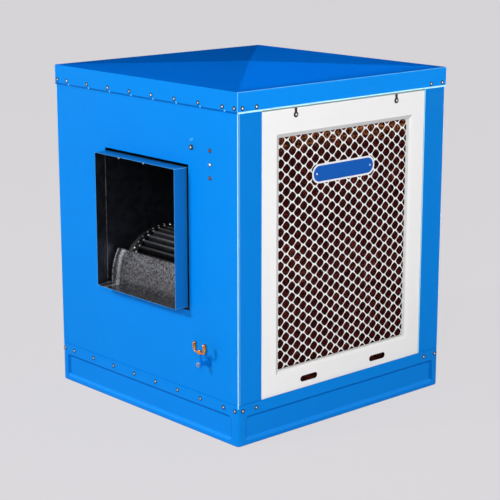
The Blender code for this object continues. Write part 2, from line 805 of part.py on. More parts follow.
def cutoff_arc():
    """The corner radius of the cutoff plate's inner line, its first angle and its facets."""
    start = math.asin((SCROLL_SILL - AXIS_Z) / (SCROLL_START + FIT))
    steps = round((CUTOFF_ANGLE - start) / SPIRAL_STEP) + 1
    half_step = (CUTOFF_ANGLE - start) / steps / 2
    return (SCROLL_START + FIT) / math.cos(half_step), start, steps


def spiral():
    """The outer line of the scroll, from behind the cutoff under the wheel to its level head."""
    reach = SCROLL_HEAD - AXIS_Z
    start = -cutoff_arc()[1]
    lean = 0.0
    for _ in range(SPIRAL_ROUNDS):
        sweep = 1.5 * math.pi + lean - start
        growth = math.log(reach / math.cos(lean) / SCROLL_START) / sweep
        lean = math.atan(growth)
    steps = round(sweep / SPIRAL_STEP)
    line = [on_axis(SCROLL_START, SCROLL_LAP_ANGLE), on_axis(SCROLL_START, SCROLL_LAP_ANGLE / 2)]
    for step in range(steps + 1):
        angle = sweep * step / steps
        line.append(on_axis(SCROLL_START * math.exp(growth * angle), -start - angle))
    return line


def scroll(cabinet):
    """The blower's housing: two side plates, the wrap between them and the cutoff plate."""
    line = spiral()
    wrap = line + [(MOUTH_Y, SCROLL_HEAD)]
    add(
        "scroll_wrap",
        prism(folded(wrap, SHEET), "X", WRAP_LEFT, WRAP_RIGHT),
        "galvanised",
        cabinet,
        smooth=True,
    )
    cutoff_plate(cabinet)
    foot_level = RAIL_TOP + FIT
    knee = AXIS_Z - SCROLL_START
    lowest = min(range(len(line)), key=lambda index: line[index][1])
    front = [point for point in line[:lowest] if knee < point[1] < SCROLL_SILL]
    back = [point for point in line[lowest:] if point[1] > knee]
    feet = [(AXIS_Y - FOOT_SPREAD, foot_level), (AXIS_Y + FOOT_SPREAD, foot_level)]
    first = (front[0][0], SCROLL_SILL)
    outline = [(MOUTH_Y, SCROLL_SILL), first, *front, *feet, *back, (MOUTH_Y, SCROLL_HEAD)]
    hole = rod(INLET_RADIUS, "X", SCROLL_LEFT - SHEET, SCROLL_RIGHT + SHEET, FINE_SIDES)
    bmesh.ops.translate(hole, verts=hole.verts[:], vec=(0.0, AXIS_Y, AXIS_Z))
    for name, low in (("scroll_side_left", SCROLL_LEFT), ("scroll_side_right", SCROLL_RIGHT - SHEET)):
        plate = add(name, prism(outline, "X", low, low + SHEET), "galvanised", cabinet)
        boolean(plate, hole.copy())
    hole.free()


def cutoff_plate(cabinet):
    """The curved plate across the foot of the mouth, with a lip that lies on the collar."""
    radius, start, steps = cutoff_arc()
    arc = [
        on_axis(radius, start + (CUTOFF_ANGLE - start) * step / steps)
        for step in range(steps + 1)
    ]
    arc[0] = (arc[0][0], SCROLL_SILL)
    path = [(arc[0][0] - CUTOFF_LIP, SCROLL_SILL), *arc]
    add(
        "cutoff_plate",
        prism(folded(path, SHEET), "X", WRAP_LEFT, WRAP_RIGHT),
        "galvanised",
        cabinet,
        smooth=True,
    )


def inlet_rings(cabinet):
    """A spun ring in each side of the scroll that leads air into the wheel."""
    for name, face, way in (
        ("inlet_ring_left", SCROLL_LEFT, -1.0),
        ("inlet_ring_right", SCROLL_RIGHT, 1.0),
    ):
        inside = INLET_RADIUS * math.cos(math.pi / FINE_SIDES) - FIT - SHEET
        outer_line = [
            (FIT + SHEET, INLET_RADIUS + INLET_FLANGE),
            (FIT + SHEET, inside),
            (-INLET_DEPTH / 2, (inside + INLET_THROAT) / 2 - SHEET),
            (-INLET_DEPTH, INLET_THROAT),
        ]
        inner_line = [
            (-INLET_DEPTH, INLET_THROAT + SHEET),
            (-INLET_DEPTH / 2, (inside + INLET_THROAT) / 2),
            (-FIT, inside + SHEET),
            (FIT, inside + SHEET),
            (FIT, INLET_RADIUS + INLET_FLANGE),
        ]
        profile = [(face + way * at, r) for at, r in outer_line + inner_line]
        shape = turned(profile, "X", FINE_SIDES, (AXIS_Y, AXIS_Z))
        add(name, shape, "galvanised", cabinet, smooth=True)


def bearings(cabinet):
    """A strap bracket across each inlet, with a flanged bearing at its middle."""
    reach = INLET_RADIUS + INLET_FLANGE + BRACKET_RING_GAP
    for side, face, way in (("left", SCROLL_LEFT, -1.0), ("right", SCROLL_RIGHT, 1.0)):
        base = face + way * FIT
        out = base + way * BRACKET_STANDOFF
        path = [
            (base, AXIS_Z - reach - BRACKET_FOOT),
            (base, AXIS_Z - reach),
            (out, AXIS_Z - reach + BRACKET_RUN),
            (out, AXIS_Z + reach - BRACKET_RUN),
            (base, AXIS_Z + reach),
            (base, AXIS_Z + reach + BRACKET_FOOT),
        ]
        outline = folded(path, -way * BRACKET_SHEET)
        low, high = AXIS_Y - BRACKET_WIDTH / 2, AXIS_Y + BRACKET_WIDTH / 2
        bracket = add(f"bearing_bracket_{side}", prism(outline, "Y", low, high), "steel", cabinet)
        outer = out + way * BRACKET_SHEET
        ends = sorted((out - way * BRACKET_SHEET, outer + way * BRACKET_SHEET))
        seat = clear_of(BEARING_RADIUS, ROUND_SIDES)
        boolean(bracket, rod(seat, "X", *ends, ROUND_SIDES, (AXIS_Y, AXIS_Z)))
        bore = clear_of(SHAFT_RADIUS, ROUND_SIDES, RUNNING)
        inner_end = out - way * BEARING_INNER_LENGTH
        flange = outer + way * FIT
        outer_end = flange + way * BEARING_FLANGE
        profile = [
            (inner_end, bore),
            (inner_end, BEARING_RADIUS),
            (flange, BEARING_RADIUS),
            (flange, BEARING_FLANGE_RADIUS),
            (outer_end, BEARING_FLANGE_RADIUS),
            (outer_end, bore),
        ]
        shape = turned(profile, "X", ROUND_SIDES, (AXIS_Y, AXIS_Z))
        add(f"bearing_{side}", shape, "motor_grey", cabinet, smooth=True)


# Blower wheel and drive


def wheel(fan):
    """The squirrel-cage wheel: two end rings, a centre disc and the tilted blades."""
    low = OUTLET_X - WHEEL_WIDTH / 2
    high = OUTLET_X + WHEEL_WIDTH / 2
    inside = WHEEL_RADIUS - BLADE_DEPTH - WHEEL_RING
    shape = tube(WHEEL_RADIUS, inside, "X", low, low + WHEEL_RING, FINE_SIDES)
    bore = clear_of(HUB_RADIUS, ROUND_SIDES)
    others = (
        tube(WHEEL_RADIUS, inside, "X", high - WHEEL_RING, high, FINE_SIDES),
        tube(
            WHEEL_RADIUS - BLADE_DEPTH / 2,
            bore,
            "X",
            OUTLET_X - WHEEL_DISC / 2,
            OUTLET_X + WHEEL_DISC / 2,
            FINE_SIDES,
        ),
    )
    for other in others:
        spare = bpy.data.meshes.new("spare")
        other.to_mesh(spare)
        other.free()
        shape.from_mesh(spare)
        bpy.data.meshes.remove(spare)
    blades = bmesh.new()
    length = WHEEL_WIDTH - WHEEL_RING
    size = Matrix.Diagonal((length, BLADE_THICKNESS, BLADE_DEPTH, 1.0))
    tilt = Matrix.Rotation(BLADE_TILT, 4, "X")
    middle = WHEEL_RADIUS - BLADE_DEPTH / 2 - WHEEL_RING / 2
    for blade in range(BLADE_COUNT):
        turn = Matrix.Rotation(2 * math.pi * blade / BLADE_COUNT, 4, "X")
        seat = Matrix.Translation((OUTLET_X, 0.0, middle))
        bmesh.ops.create_cube(blades, size=1.0, matrix=turn @ seat @ tilt @ size)
    boolean(add("blower_wheel", shape, "galvanised", fan, smooth=True), blades, "UNION")


def pulley(name, radius, bore, length, axis_empty):
    """A one-groove belt pulley turned about its empty's X axis."""
    half, rim = PULLEY_WIDTH / 2, radius - PULLEY_RIM
    floor = BELT_WIDTH / 2 + BELT_SIDE_GAP
    groove = [
        (-half, radius),
        (-floor, radius),
        (-floor, radius - GROOVE_DEPTH),
        (floor, radius - GROOVE_DEPTH),
        (floor, radius),
        (half, radius),
    ]
    webbed = rim > PULLEY_HUB_RADIUS + PULLEY_RIM
    left = [(-length / 2, bore), (-length / 2, PULLEY_HUB_RADIUS)]
    if webbed:
        left += [(-PULLEY_WEB / 2, PULLEY_HUB_RADIUS), (-PULLEY_WEB / 2, rim), (-half, rim)]
    else:
        left += [(-half, PULLEY_HUB_RADIUS)]
    right = [(-at, r) for at, r in reversed(left)]
    profile = [(PULLEY_X + at, r) for at, r in left + groove + right]
    sides = FINE_SIDES if webbed else ROUND_SIDES
    add(name, turned(profile, "X", sides), "motor_grey", axis_empty, smooth=True)


def fan_drive(fan):
    """The blower's shaft, hub and pulley."""
    shaft = rod(SHAFT_RADIUS, "X", SHAFT_LEFT, SHAFT_RIGHT, ROUND_SIDES)
    add("blower_shaft", shaft, "steel", fan, smooth=True)
    bore = clear_of(SHAFT_RADIUS, ROUND_SIDES)
    end = HUB_LENGTH / 2
    face = WHEEL_DISC / 2 + FIT
    line = [
        (-end, bore),
        (-end, HUB_RADIUS),
        (-face - HUB_FLANGE, HUB_RADIUS),
        (-face - HUB_FLANGE, HUB_FLANGE_RADIUS),
        (-face, HUB_FLANGE_RADIUS),
        (-face, HUB_RADIUS),
        (end, HUB_RADIUS),
        (end, bore),
    ]
    profile = [(OUTLET_X + at, r) for at, r in line]
    add("wheel_hub", turned(profile, "X", ROUND_SIDES), "steel", fan, smooth=True)
    pulley("fan_pulley", FAN_PULLEY_RADIUS, bore, PULLEY_HUB_LENGTH, fan)


def motor(cabinet, rotor):
    """The drive motor on its stand, with its shaft and small pulley."""
    bore = clear_of(MOTOR_SHAFT_RADIUS, SMALL_SIDES, RUNNING)
    bell = MOTOR_RADIUS - MOTOR_BELL
    profile = [
        (MOTOR_LEFT, bore),
        (MOTOR_LEFT, bell),
        (MOTOR_LEFT + MOTOR_BELL, MOTOR_RADIUS),
        (MOTOR_RIGHT - MOTOR_BELL, MOTOR_RADIUS),
        (MOTOR_RIGHT, bell),
        (MOTOR_RIGHT, bore),
    ]
    body = turned(profile, "X", ROUND_SIDES, (MOTOR_Y, MOTOR_Z))
    add("motor_body", body, "motor_grey", cabinet, smooth=True)
    left = PULLEY_X - PULLEY_WIDTH / 2 - SHAFT_OVERHANG
    shaft = rod(MOTOR_SHAFT_RADIUS, "X", left, MOTOR_RIGHT, SMALL_SIDES)
    add("motor_shaft", shaft, "steel", rotor, smooth=True)
    pulley_bore = clear_of(MOTOR_SHAFT_RADIUS, ROUND_SIDES)
    pulley("motor_pulley", MOTOR_PULLEY_RADIUS, pulley_bore, PULLEY_WIDTH + SHAFT_OVERHANG, rotor)
    motor_stand(cabinet)


def motor_stand(cabinet):
    """A plate across both rails with two saddles that cradle the motor."""
    low = (SCROLL_LEFT - RAIL_WIDTH / 2, MOTOR_Y - STAND_DEPTH / 2, STAND_FOOT)
    high = (SCROLL_RIGHT + RAIL_WIDTH / 2, MOTOR_Y + STAND_DEPTH / 2, STAND_FOOT + STAND_SHEET)
    stand = add("motor_stand", box(low, high), "steel", cabinet)
    middle = (MOTOR_LEFT + MOTOR_RIGHT) / 2
    top = STAND_FOOT + STAND_SHEET + SADDLE_FLOOR + SADDLE_WRAP
    for offset in (-SADDLE_SPACING / 2, SADDLE_SPACING / 2):
        x = middle + offset
        saddle = box(
            (x - SADDLE_WIDTH / 2, MOTOR_Y - SADDLE_LENGTH / 2, STAND_FOOT + STAND_SHEET / 2),
            (x + SADDLE_WIDTH / 2, MOTOR_Y + SADDLE_LENGTH / 2, top),
        )
        boolean(stand, saddle, "UNION")
    cradle = clear_of(MOTOR_RADIUS, ROUND_SIDES)
    ends = (MOTOR_LEFT, MOTOR_RIGHT)
    boolean(stand, rod(cradle, "X", *ends, ROUND_SIDES, (MOTOR_Y, MOTOR_Z)))


def belt_line(extra):
    """The closed line of the belt round both pulleys, some way out from the groove floors."""
    step = math.pi / FINE_SIDES
    circles = (
        (Vector((AXIS_Y, AXIS_Z)), FAN_PULLEY_RADIUS),
        (Vector((MOTOR_Y, MOTOR_Z)), MOTOR_PULLEY_RADIUS),
    )
    (big, big_radius), (small, small_radius) = circles
    span = small - big
    heading = math.atan2(span.y, span.x)
    lean = math.acos((big_radius - small_radius) / span.length)
    arcs = (
        (big, big_radius, heading + lean, heading - lean + 2 * math.pi, FINE_SIDES),
        (small, small_radius, heading - lean, heading + lean, SMALL_SIDES),
    )
    line = []
    for centre, radius, start, end, sides in arcs:
        half_step = (end - start) / sides / 2
        reach = (radius - GROOVE_DEPTH + FIT) / math.cos(max(half_step, step)) + extra
        for index in range(sides + 1):
            angle = start + (end - start) * index / sides
            line.append((centre.x + reach * math.cos(angle), centre.y + reach * math.sin(angle)))
    return line


def drive_belt(cabinet):
    """The belt as one closed loop in the pulley grooves."""
    low, high = PULLEY_X - BELT_WIDTH / 2, PULLEY_X + BELT_WIDTH / 2
    shape = ring_prism(belt_line(BELT_THICKNESS), belt_line(0.0), "X", low, high)
    add("drive_belt", shape, "rubber", cabinet)


def blower_rails(cabinet):
    """Two channels across the pan that carry the blower and the motor stand."""
    front = PANEL_BACK + SHEET + FIT + RAIL_END_GAP
    rear = FRAME_BACK - RAIL_END_GAP
    for name, middle in (
        ("blower_rail_left", SCROLL_LEFT + SHEET / 2),
        ("blower_rail_right", SCROLL_RIGHT - SHEET / 2),
    ):
        low, high = middle - RAIL_WIDTH / 2, middle + RAIL_WIDTH / 2
        path = [(low, WALL_FOOT), (low, RAIL_TOP), (high, RAIL_TOP), (high, WALL_FOOT)]
        outline = folded(path, -RAIL_SHEET)
        add(name, prism(outline, "Y", front, rear), "galvanised", cabinet)


# Water


def water_trough(side, wall):
    """An open trough between the posts, over the head of one cassette."""
    half = JAMB - FIT
    low, high = (TROUGH_BACK, -half, TROUGH_FOOT), (TROUGH_FRONT, half, TROUGH_TOP)
    skin_shape = open_box(low, high, (0.0, 0.0, 1.0))
    thicken(add(f"water_trough_{side}", skin_shape, "galvanised", wall), TROUGH_WALL)


def water_spider(cabinet):
    """The three-armed pipe that shares the pump's water among the troughs."""
    seat = (0.0, SPIDER_Y)
    profile = [
        (SPIDER_BODY_FOOT - SPIGOT_LENGTH, 0.0),
        (SPIDER_BODY_FOOT - SPIGOT_LENGTH, SPIGOT_RADIUS),
        (SPIDER_BODY_FOOT, SPIGOT_RADIUS),
        (SPIDER_BODY_FOOT, SPIDER_BODY_RADIUS),
        (SPIDER_BODY_TOP, SPIDER_BODY_RADIUS),
        (SPIDER_BODY_TOP, 0.0),
    ]
    spider = add("water_spider", turned(profile, "Z", SMALL_SIDES, seat), "black_plastic", cabinet)
    reach = TROUGH_BACK + SPIDER_OVERHANG
    level = (SPIDER_Y, SPIDER_Z)
    cross = rod(SPIDER_TUBE_RADIUS, "X", -reach, reach, SMALL_SIDES, level)
    boolean(spider, cross, "UNION")
    arm = rod(SPIDER_TUBE_RADIUS, "Y", SPIDER_Y, reach, SMALL_SIDES, (0.0, SPIDER_Z))
    boolean(spider, arm, "UNION")


def riser_hose(cabinet):
    """The hose from the pump up to the spider, on one smooth curve through its route."""
    route = [Vector(point) for point in HOSE_ROUTE]
    padded = [2 * route[0] - route[1], *route, 2 * route[-1] - route[-2]]
    points = []
    for before, start, end, after in zip(padded, padded[1:], padded[2:], padded[3:]):
        for step in range(HOSE_STEPS_PER_LEG):
            t = step / HOSE_STEPS_PER_LEG
            bend = 2 * before - 5 * start + 4 * end - after
            twist = 3 * start - before - 3 * end + after
            points.append(start + 0.5 * (t * (end - before) + t * t * bend + t**3 * twist))
    points.append(route[-1])
    curve = bpy.data.curves.new("riser_hose", "CURVE")
    curve.dimensions = "3D"
    curve.bevel_depth = HOSE_RADIUS
    curve.bevel_resolution = 2
    curve.use_fill_caps = True
    line = curve.splines.new("POLY")
    line.points.add(len(points) - 1)
    for slot, point in zip(line.points, points):
        slot.co = (*point, 1.0)
    curve.materials.append(finish("rubber"))
    hose = bpy.data.objects.new("riser_hose", curve)
    bpy.context.collection.objects.link(hose)
    hose.parent = cabinet


def pump(cabinet, rotor):
    """The pan pump: strainer basket, motor over a cover with its spigot, and the impeller."""
    centre = (PUMP_X, PUMP_Y)
    cup = [
        (BASKET_FOOT, 0.0),
        (BASKET_FOOT, BASKET_RADIUS),
        (BASKET_TOP, BASKET_RADIUS),
        (BASKET_TOP, BASKET_RADIUS - BASKET_WALL),
        (BASKET_FOOT + BASKET_WALL, BASKET_RADIUS - BASKET_WALL),
        (BASKET_FOOT + BASKET_WALL, 0.0),
    ]
    basket = turned(cup, "Z", ROUND_SIDES, centre)
    add("pump_basket", basket, "black_plastic", cabinet, smooth=True)
    bore = clear_of(PUMP_SHAFT_RADIUS, SMALL_SIDES, RUNNING)
    shoulder = COVER_TOP + PUMP_NECK
    profile = [
        (COVER_FOOT, bore),
        (COVER_FOOT, BASKET_RADIUS),
        (COVER_TOP, BASKET_RADIUS),
        (COVER_TOP, PUMP_NECK_RADIUS),
        (shoulder, PUMP_NECK_RADIUS),
        (shoulder, PUMP_MOTOR_RADIUS),
        (PUMP_TOP, PUMP_MOTOR_RADIUS),
        (PUMP_TOP, bore),
    ]
    body = turned(profile, "Z", ROUND_SIDES, centre)
    body = add("pump_body", body, "black_plastic", cabinet, smooth=True)
    seat = (PUMP_X - SPIGOT_OFFSET, PUMP_Y)
    middle = (COVER_FOOT + COVER_TOP) / 2
    boolean(body, rod(SPIGOT_RADIUS, "Z", middle, SPIGOT_TOP, SMALL_SIDES, seat), "UNION")
    low = BASKET_FOOT + IMPELLER_RISE
    line = [
        (low, 0.0),
        (low, IMPELLER_RADIUS),
        (low + IMPELLER_HEIGHT, IMPELLER_RADIUS),
        (low + IMPELLER_HEIGHT, PUMP_SHAFT_RADIUS),
        (PUMP_TOP, PUMP_SHAFT_RADIUS),
        (PUMP_TOP, 0.0),
    ]
    add("pump_impeller", turned(line, "Z", SMALL_SIDES), "black_plastic", rotor, smooth=True)


def float_valve(cabinet, pivot):
    """The brass valve through the front wall, its arm and its ball."""
    centre = (INLET_X, INLET_Z)
    profile = [
        (NUT_FRONT, 0.0),
        (NUT_FRONT, NIPPLE_RADIUS),
        (VALVE_FACE, NIPPLE_RADIUS),
        (VALVE_FACE, VALVE_FLANGE_RADIUS),
        (VALVE_FACE + VALVE_FLANGE, VALVE_FLANGE_RADIUS),
        (VALVE_FACE + VALVE_FLANGE, VALVE_RADIUS),
        (VALVE_TAIL, VALVE_RADIUS),
        (VALVE_TAIL, 0.0),
    ]
    valve = add("float_valve", turned(profile, "Y", SMALL_SIDES, centre), "brass", cabinet)
    gap = ARM_WIDTH / 2 + FIT
    for low, high in ((-gap - EAR_THICKNESS, -gap), (gap, gap + EAR_THICKNESS)):
        ear = box(
            (INLET_X + low, VALVE_TAIL - EAR_THICKNESS, INLET_Z - EAR_HEIGHT / 2),
            (INLET_X + high, VALVE_TAIL + EAR_LENGTH, INLET_Z + EAR_HEIGHT / 2),
        )
        boolean(valve, ear, "UNION")
    reach = gap + 2 * EAR_THICKNESS
    hole = clear_of(ARM_PIN_RADIUS, SMALL_SIDES, RUNNING)
    ends = (INLET_X - reach, INLET_X + reach)
    boolean(valve, rod(hole, "X", *ends, SMALL_SIDES, (PIVOT_Y, INLET_Z)))
    nut_bore = clear_of(NIPPLE_RADIUS, NUT_SIDES)
    outer = hexagon(LOCK_NUT_RADIUS)
    inner = hexagon(nut_bore)
    ring = ring_prism(outer, inner, "Y", NUT_FRONT, -WALL - FIT)
    add("inlet_nut", ring, "brass", cabinet)
    arm_end = Vector((ARM_RUN, -ARM_DROP))
    eye = rod(ARM_EYE_RADIUS, "X", -ARM_WIDTH / 2, ARM_WIDTH / 2, SMALL_SIDES)
    arm = add("float_arm", eye, "brass", pivot)
    pin_end = gap + EAR_THICKNESS
    boolean(arm, rod(ARM_PIN_RADIUS, "X", -pin_end, pin_end, SMALL_SIDES), "UNION")
    length = arm_end.length - FLOAT_RADIUS - FIT
    bar = rod(ARM_ROD_RADIUS, "Y", 0.0, length, SMALL_SIDES)
    lean = Matrix.Rotation(math.atan2(arm_end.y, arm_end.x), 4, "X")
    bmesh.ops.transform(bar, matrix=lean, verts=bar.verts[:])
    boolean(arm, bar, "UNION")
    ball = bmesh.new()
    bmesh.ops.create_icosphere(ball, subdivisions=BALL_SUBDIVISIONS, radius=FLOAT_RADIUS)
    bmesh.ops.translate(ball, verts=ball.verts[:], vec=(0.0, arm_end.x, arm_end.y))
    add("float_ball", ball, "float_red", pivot, smooth=True)


def hexagon(radius):
    """A hexagon about the water inlet."""
    corners = [2 * math.pi * step / NUT_SIDES for step in range(NUT_SIDES)]
    return [(INLET_X + radius * math.cos(a), INLET_Z + radius * math.sin(a)) for a in corners]


def stopcock(cabinet, spindle):
    """The brass shut-off on the inlet, with a winged handle on an upright spindle."""
    centre = (INLET_X, INLET_Z)
    body = rod(STOPCOCK_RADIUS, "Y", STOPCOCK_FRONT, STOPCOCK_BACK, SMALL_SIDES, centre)
    cock = add("stopcock", body, "brass", cabinet)
    top = INLET_Z + STOPCOCK_NECK_HEIGHT
    neck = rod(STOPCOCK_NECK_RADIUS, "Z", INLET_Z, top, SMALL_SIDES, (INLET_X, HANDLE_Y))
    boolean(cock, neck, "UNION")
    mouth = (STOPCOCK_FRONT - SHEET, STOPCOCK_FRONT + STOPCOCK_BORE_DEPTH)
    boolean(cock, rod(STOPCOCK_BORE_RADIUS, "Y", *mouth, SMALL_SIDES, centre))
    half = [
        (HANDLE_HUB, 0.0),
        (HANDLE_HUB, HANDLE_HEIGHT / 3),
        (HANDLE_REACH - HANDLE_WING, HANDLE_HEIGHT / 2),
        (HANDLE_REACH, HANDLE_HEIGHT / 2),
        (HANDLE_REACH, HANDLE_HEIGHT),
        (HANDLE_REACH - HANDLE_WING, HANDLE_HEIGHT),
        (HANDLE_HUB, HANDLE_HEIGHT / 2 + HANDLE_WING / 2),
    ]
    outline = half + [(-x, z) for x, z in reversed(half)]
    handle = prism(outline, "Y", -HANDLE_THICKNESS / 2, HANDLE_THICKNESS / 2)
    add("stopcock_handle", handle, "brass", spindle)


def drain(cabinet, seat):
    """The bush in the pan floor and the overflow pipe that stands in it."""
    centre = (DRAIN_X, DRAIN_Y)
    bore = clear_of(OVERFLOW_RADIUS, ROUND_SIDES, RUNNING)
    flange = PAN_FLOOR + FIT
    profile = [
        (FIT, bore),
        (FIT, DRAIN_RADIUS),
        (flange, DRAIN_RADIUS),
        (flange, DRAIN_FLANGE_RADIUS),
        (flange + DRAIN_FLANGE, DRAIN_FLANGE_RADIUS),
        (flange + DRAIN_FLANGE, bore),
    ]
    add("drain_bush", turned(profile, "Z", ROUND_SIDES, centre), "brass", cabinet, smooth=True)
    shoulder = flange + DRAIN_FLANGE
    line = [
        (0.0, OVERFLOW_BORE_RADIUS),
        (0.0, OVERFLOW_RADIUS),
        (shoulder, OVERFLOW_RADIUS),
        (shoulder, OVERFLOW_COLLAR_RADIUS),
        (shoulder + OVERFLOW_COLLAR, OVERFLOW_COLLAR_RADIUS),
        (shoulder + OVERFLOW_COLLAR, OVERFLOW_RADIUS),
        (OVERFLOW_HEIGHT, OVERFLOW_RADIUS),
        (OVERFLOW_HEIGHT, OVERFLOW_BORE_RADIUS),
    ]
    pipe = turned(line, "Z", ROUND_SIDES)
    add("overflow_pipe", pipe, "black_plastic", seat, smooth=True)


# Electrical entry


def electrics(cabinet):
    """The junction box behind the front wall and the gland that its cable comes through."""
    low = (BOX_X - BOX_WIDTH / 2, VALVE_FACE, BOX_Z - BOX_HEIGHT / 2)
    high = (BOX_X + BOX_WIDTH / 2, VALVE_FACE + BOX_DEPTH, BOX_Z + BOX_HEIGHT / 2)
    shell = open_box(low, high, (0.0, -1.0, 0.0))
    thicken(add("junction_box", shell, "black_plastic", cabinet), BOX_WALL)
    front = -WALL - FIT
    profile = [
        (front - GLAND_FLANGE, GLAND_BORE_RADIUS),
        (front - GLAND_FLANGE, GLAND_FLANGE_RADIUS),
        (front, GLAND_FLANGE_RADIUS),
        (front, GLAND_RADIUS),
        (PANEL_BACK + GLAND_TAIL, GLAND_RADIUS),
        (PANEL_BACK + GLAND_TAIL, GLAND_BORE_RADIUS),
    ]
    shape = turned(profile, "Y", SMALL_SIDES, (GLAND_X, GLAND_Z))
    add("cable_gland", shape, "black_plastic", cabinet, smooth=True)


def main():
    """Build every piece of the cooler."""
    clear_scene()
    cabinet = empty("cabinet")
    base_tray(cabinet)
    pan_ledge(cabinet)
    roof(cabinet)
    outlet_panel(cabinet)
    outlet_collar(cabinet)
    corner_posts(cabinet)
    cassettes(cabinet)
    scroll(cabinet)
    inlet_rings(cabinet)
    bearings(cabinet)
    fan = empty("blower_axis", (0.0, AXIS_Y, AXIS_Z), parent=cabinet)
    wheel(fan)
    fan_drive(fan)
    motor(cabinet, empty("motor_axis", (0.0, MOTOR_Y, MOTOR_Z), parent=cabinet))
    drive_belt(cabinet)
    blower_rails(cabinet)
    water_spider(cabinet)
    riser_hose(cabinet)
    pump(cabinet, empty("pump_axis", (PUMP_X, PUMP_Y, 0.0), parent=cabinet))
    float_valve(cabinet, empty("float_pivot", (INLET_X, PIVOT_Y, INLET_Z), parent=cabinet))
    stopcock(cabinet, empty("stopcock_spindle", (INLET_X, HANDLE_Y, HANDLE_FOOT), parent=cabinet))
    drain(cabinet, empty("overflow_seat", (DRAIN_X, DRAIN_Y, FIT), parent=cabinet))
    electrics(cabinet)


main()
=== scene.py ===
"""Evaporative cooler: the visual model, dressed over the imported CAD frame.

Lengths are in metres, +Z is up and the outlet looks along -Y. Every shape is worked out as numpy
arrays: a grid of two parameters, or a profile carried round a loop or along a path.
"""

from __future__ import annotations

import functools
import json
import logging
import math
from dataclasses import dataclass, replace
from enum import Enum
from typing import Iterable, Sequence

import bmesh
import bpy
import numpy as np
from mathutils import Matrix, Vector

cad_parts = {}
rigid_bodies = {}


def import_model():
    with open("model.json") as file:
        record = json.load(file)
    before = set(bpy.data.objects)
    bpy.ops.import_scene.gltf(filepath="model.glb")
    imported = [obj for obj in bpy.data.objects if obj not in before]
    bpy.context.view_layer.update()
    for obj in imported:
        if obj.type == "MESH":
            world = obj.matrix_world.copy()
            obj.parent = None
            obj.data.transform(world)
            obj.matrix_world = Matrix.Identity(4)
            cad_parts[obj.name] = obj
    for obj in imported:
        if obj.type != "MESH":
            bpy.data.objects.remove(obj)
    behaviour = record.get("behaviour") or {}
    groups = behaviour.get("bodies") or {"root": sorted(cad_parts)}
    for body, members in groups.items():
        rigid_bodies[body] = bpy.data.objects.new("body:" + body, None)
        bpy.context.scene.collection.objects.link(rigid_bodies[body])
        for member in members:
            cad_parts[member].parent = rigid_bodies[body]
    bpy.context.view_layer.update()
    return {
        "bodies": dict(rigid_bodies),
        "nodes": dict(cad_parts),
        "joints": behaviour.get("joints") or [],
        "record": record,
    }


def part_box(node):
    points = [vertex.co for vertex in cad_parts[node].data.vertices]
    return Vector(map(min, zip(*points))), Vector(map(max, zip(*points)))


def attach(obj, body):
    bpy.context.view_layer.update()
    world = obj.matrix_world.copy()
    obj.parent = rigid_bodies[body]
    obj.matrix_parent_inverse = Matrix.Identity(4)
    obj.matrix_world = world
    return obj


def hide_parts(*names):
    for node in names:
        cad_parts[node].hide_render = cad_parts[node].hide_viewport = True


LOG = logging.getLogger("cooler")
Array = np.ndarray
Pair = tuple[float, float]
Triple = tuple[float, float, float]
Colour = Triple
Profile = Sequence[Pair]

# Shared places of the cabinet
SHEET = 0.001
FIT = 0.0003
HALF = 0.450
WALL = 0.446
SKIN = 0.0012
PANEL_BACK = SHEET - WALL
BASE_HEIGHT = 0.130
EAVE_FOOT = 1.007
EAVE_TOP = 1.070
WALL_FOOT = 0.1203
WALL_HEAD = EAVE_TOP - SHEET - FIT
JAMB = 0.351
OUTLET_LOW = (-0.178, 0.389)
OUTLET_HIGH = (0.215, 0.822)
COLLAR_FRONT = -0.494
AXIS_Y, AXIS_Z = -0.2555, 0.405
MOTOR_Y, MOTOR_Z = 0.215, 0.2406
PULLEY_X = -0.2703
DRAIN = (-0.285, -0.285)
ORIGIN = (0.0, 0.0)

# Limits in making meshes
WELD = 1e-6
SPECK = 1e-8
TINY = 1e-9
ARC_SHARE = 0.48
ASKEW = 0.985
SMOOTH_BELOW = math.radians(38)
ASLANT = np.array([0.31, 0.87, 0.38])


class Body(str, Enum):
    """The moving bodies that a piece can ride on."""

    CABINET = "cabinet"
    BLOWER = "blower"
    MOTOR = "motor_rotor"
    PUMP = "pump_rotor"
    FLOAT = "float"
    LEVER = "stopcock_lever"
    OVERFLOW = "overflow"
    CASSETTE_RIGHT = "cassette_right"
    CASSETTE_REAR = "cassette_rear"
    CASSETTE_LEFT = "cassette_left"


class Axis(int, Enum):
    """The world axis that a shape is drawn out along or turned about."""

    X = 0
    Y = 1
    Z = 2


class Side(Enum):
    """The three walls that hold a cassette, each with its turn about Z from the right-hand wall."""

    RIGHT = 0.0
    REAR = math.pi / 2
    LEFT = math.pi

    @property
    def key(self) -> str:
        """The side's name as the nodes and bodies spell it."""
        return self.name.lower()

    @property
    def body(self) -> Body:
        """The body of the side's cassette."""
        return Body(f"cassette_{self.key}")

    @property
    def matrix(self) -> Array:
        """The turn about Z as a 3 by 3 matrix."""
        return turn_about(Axis.Z, self.value)


# Plane curves


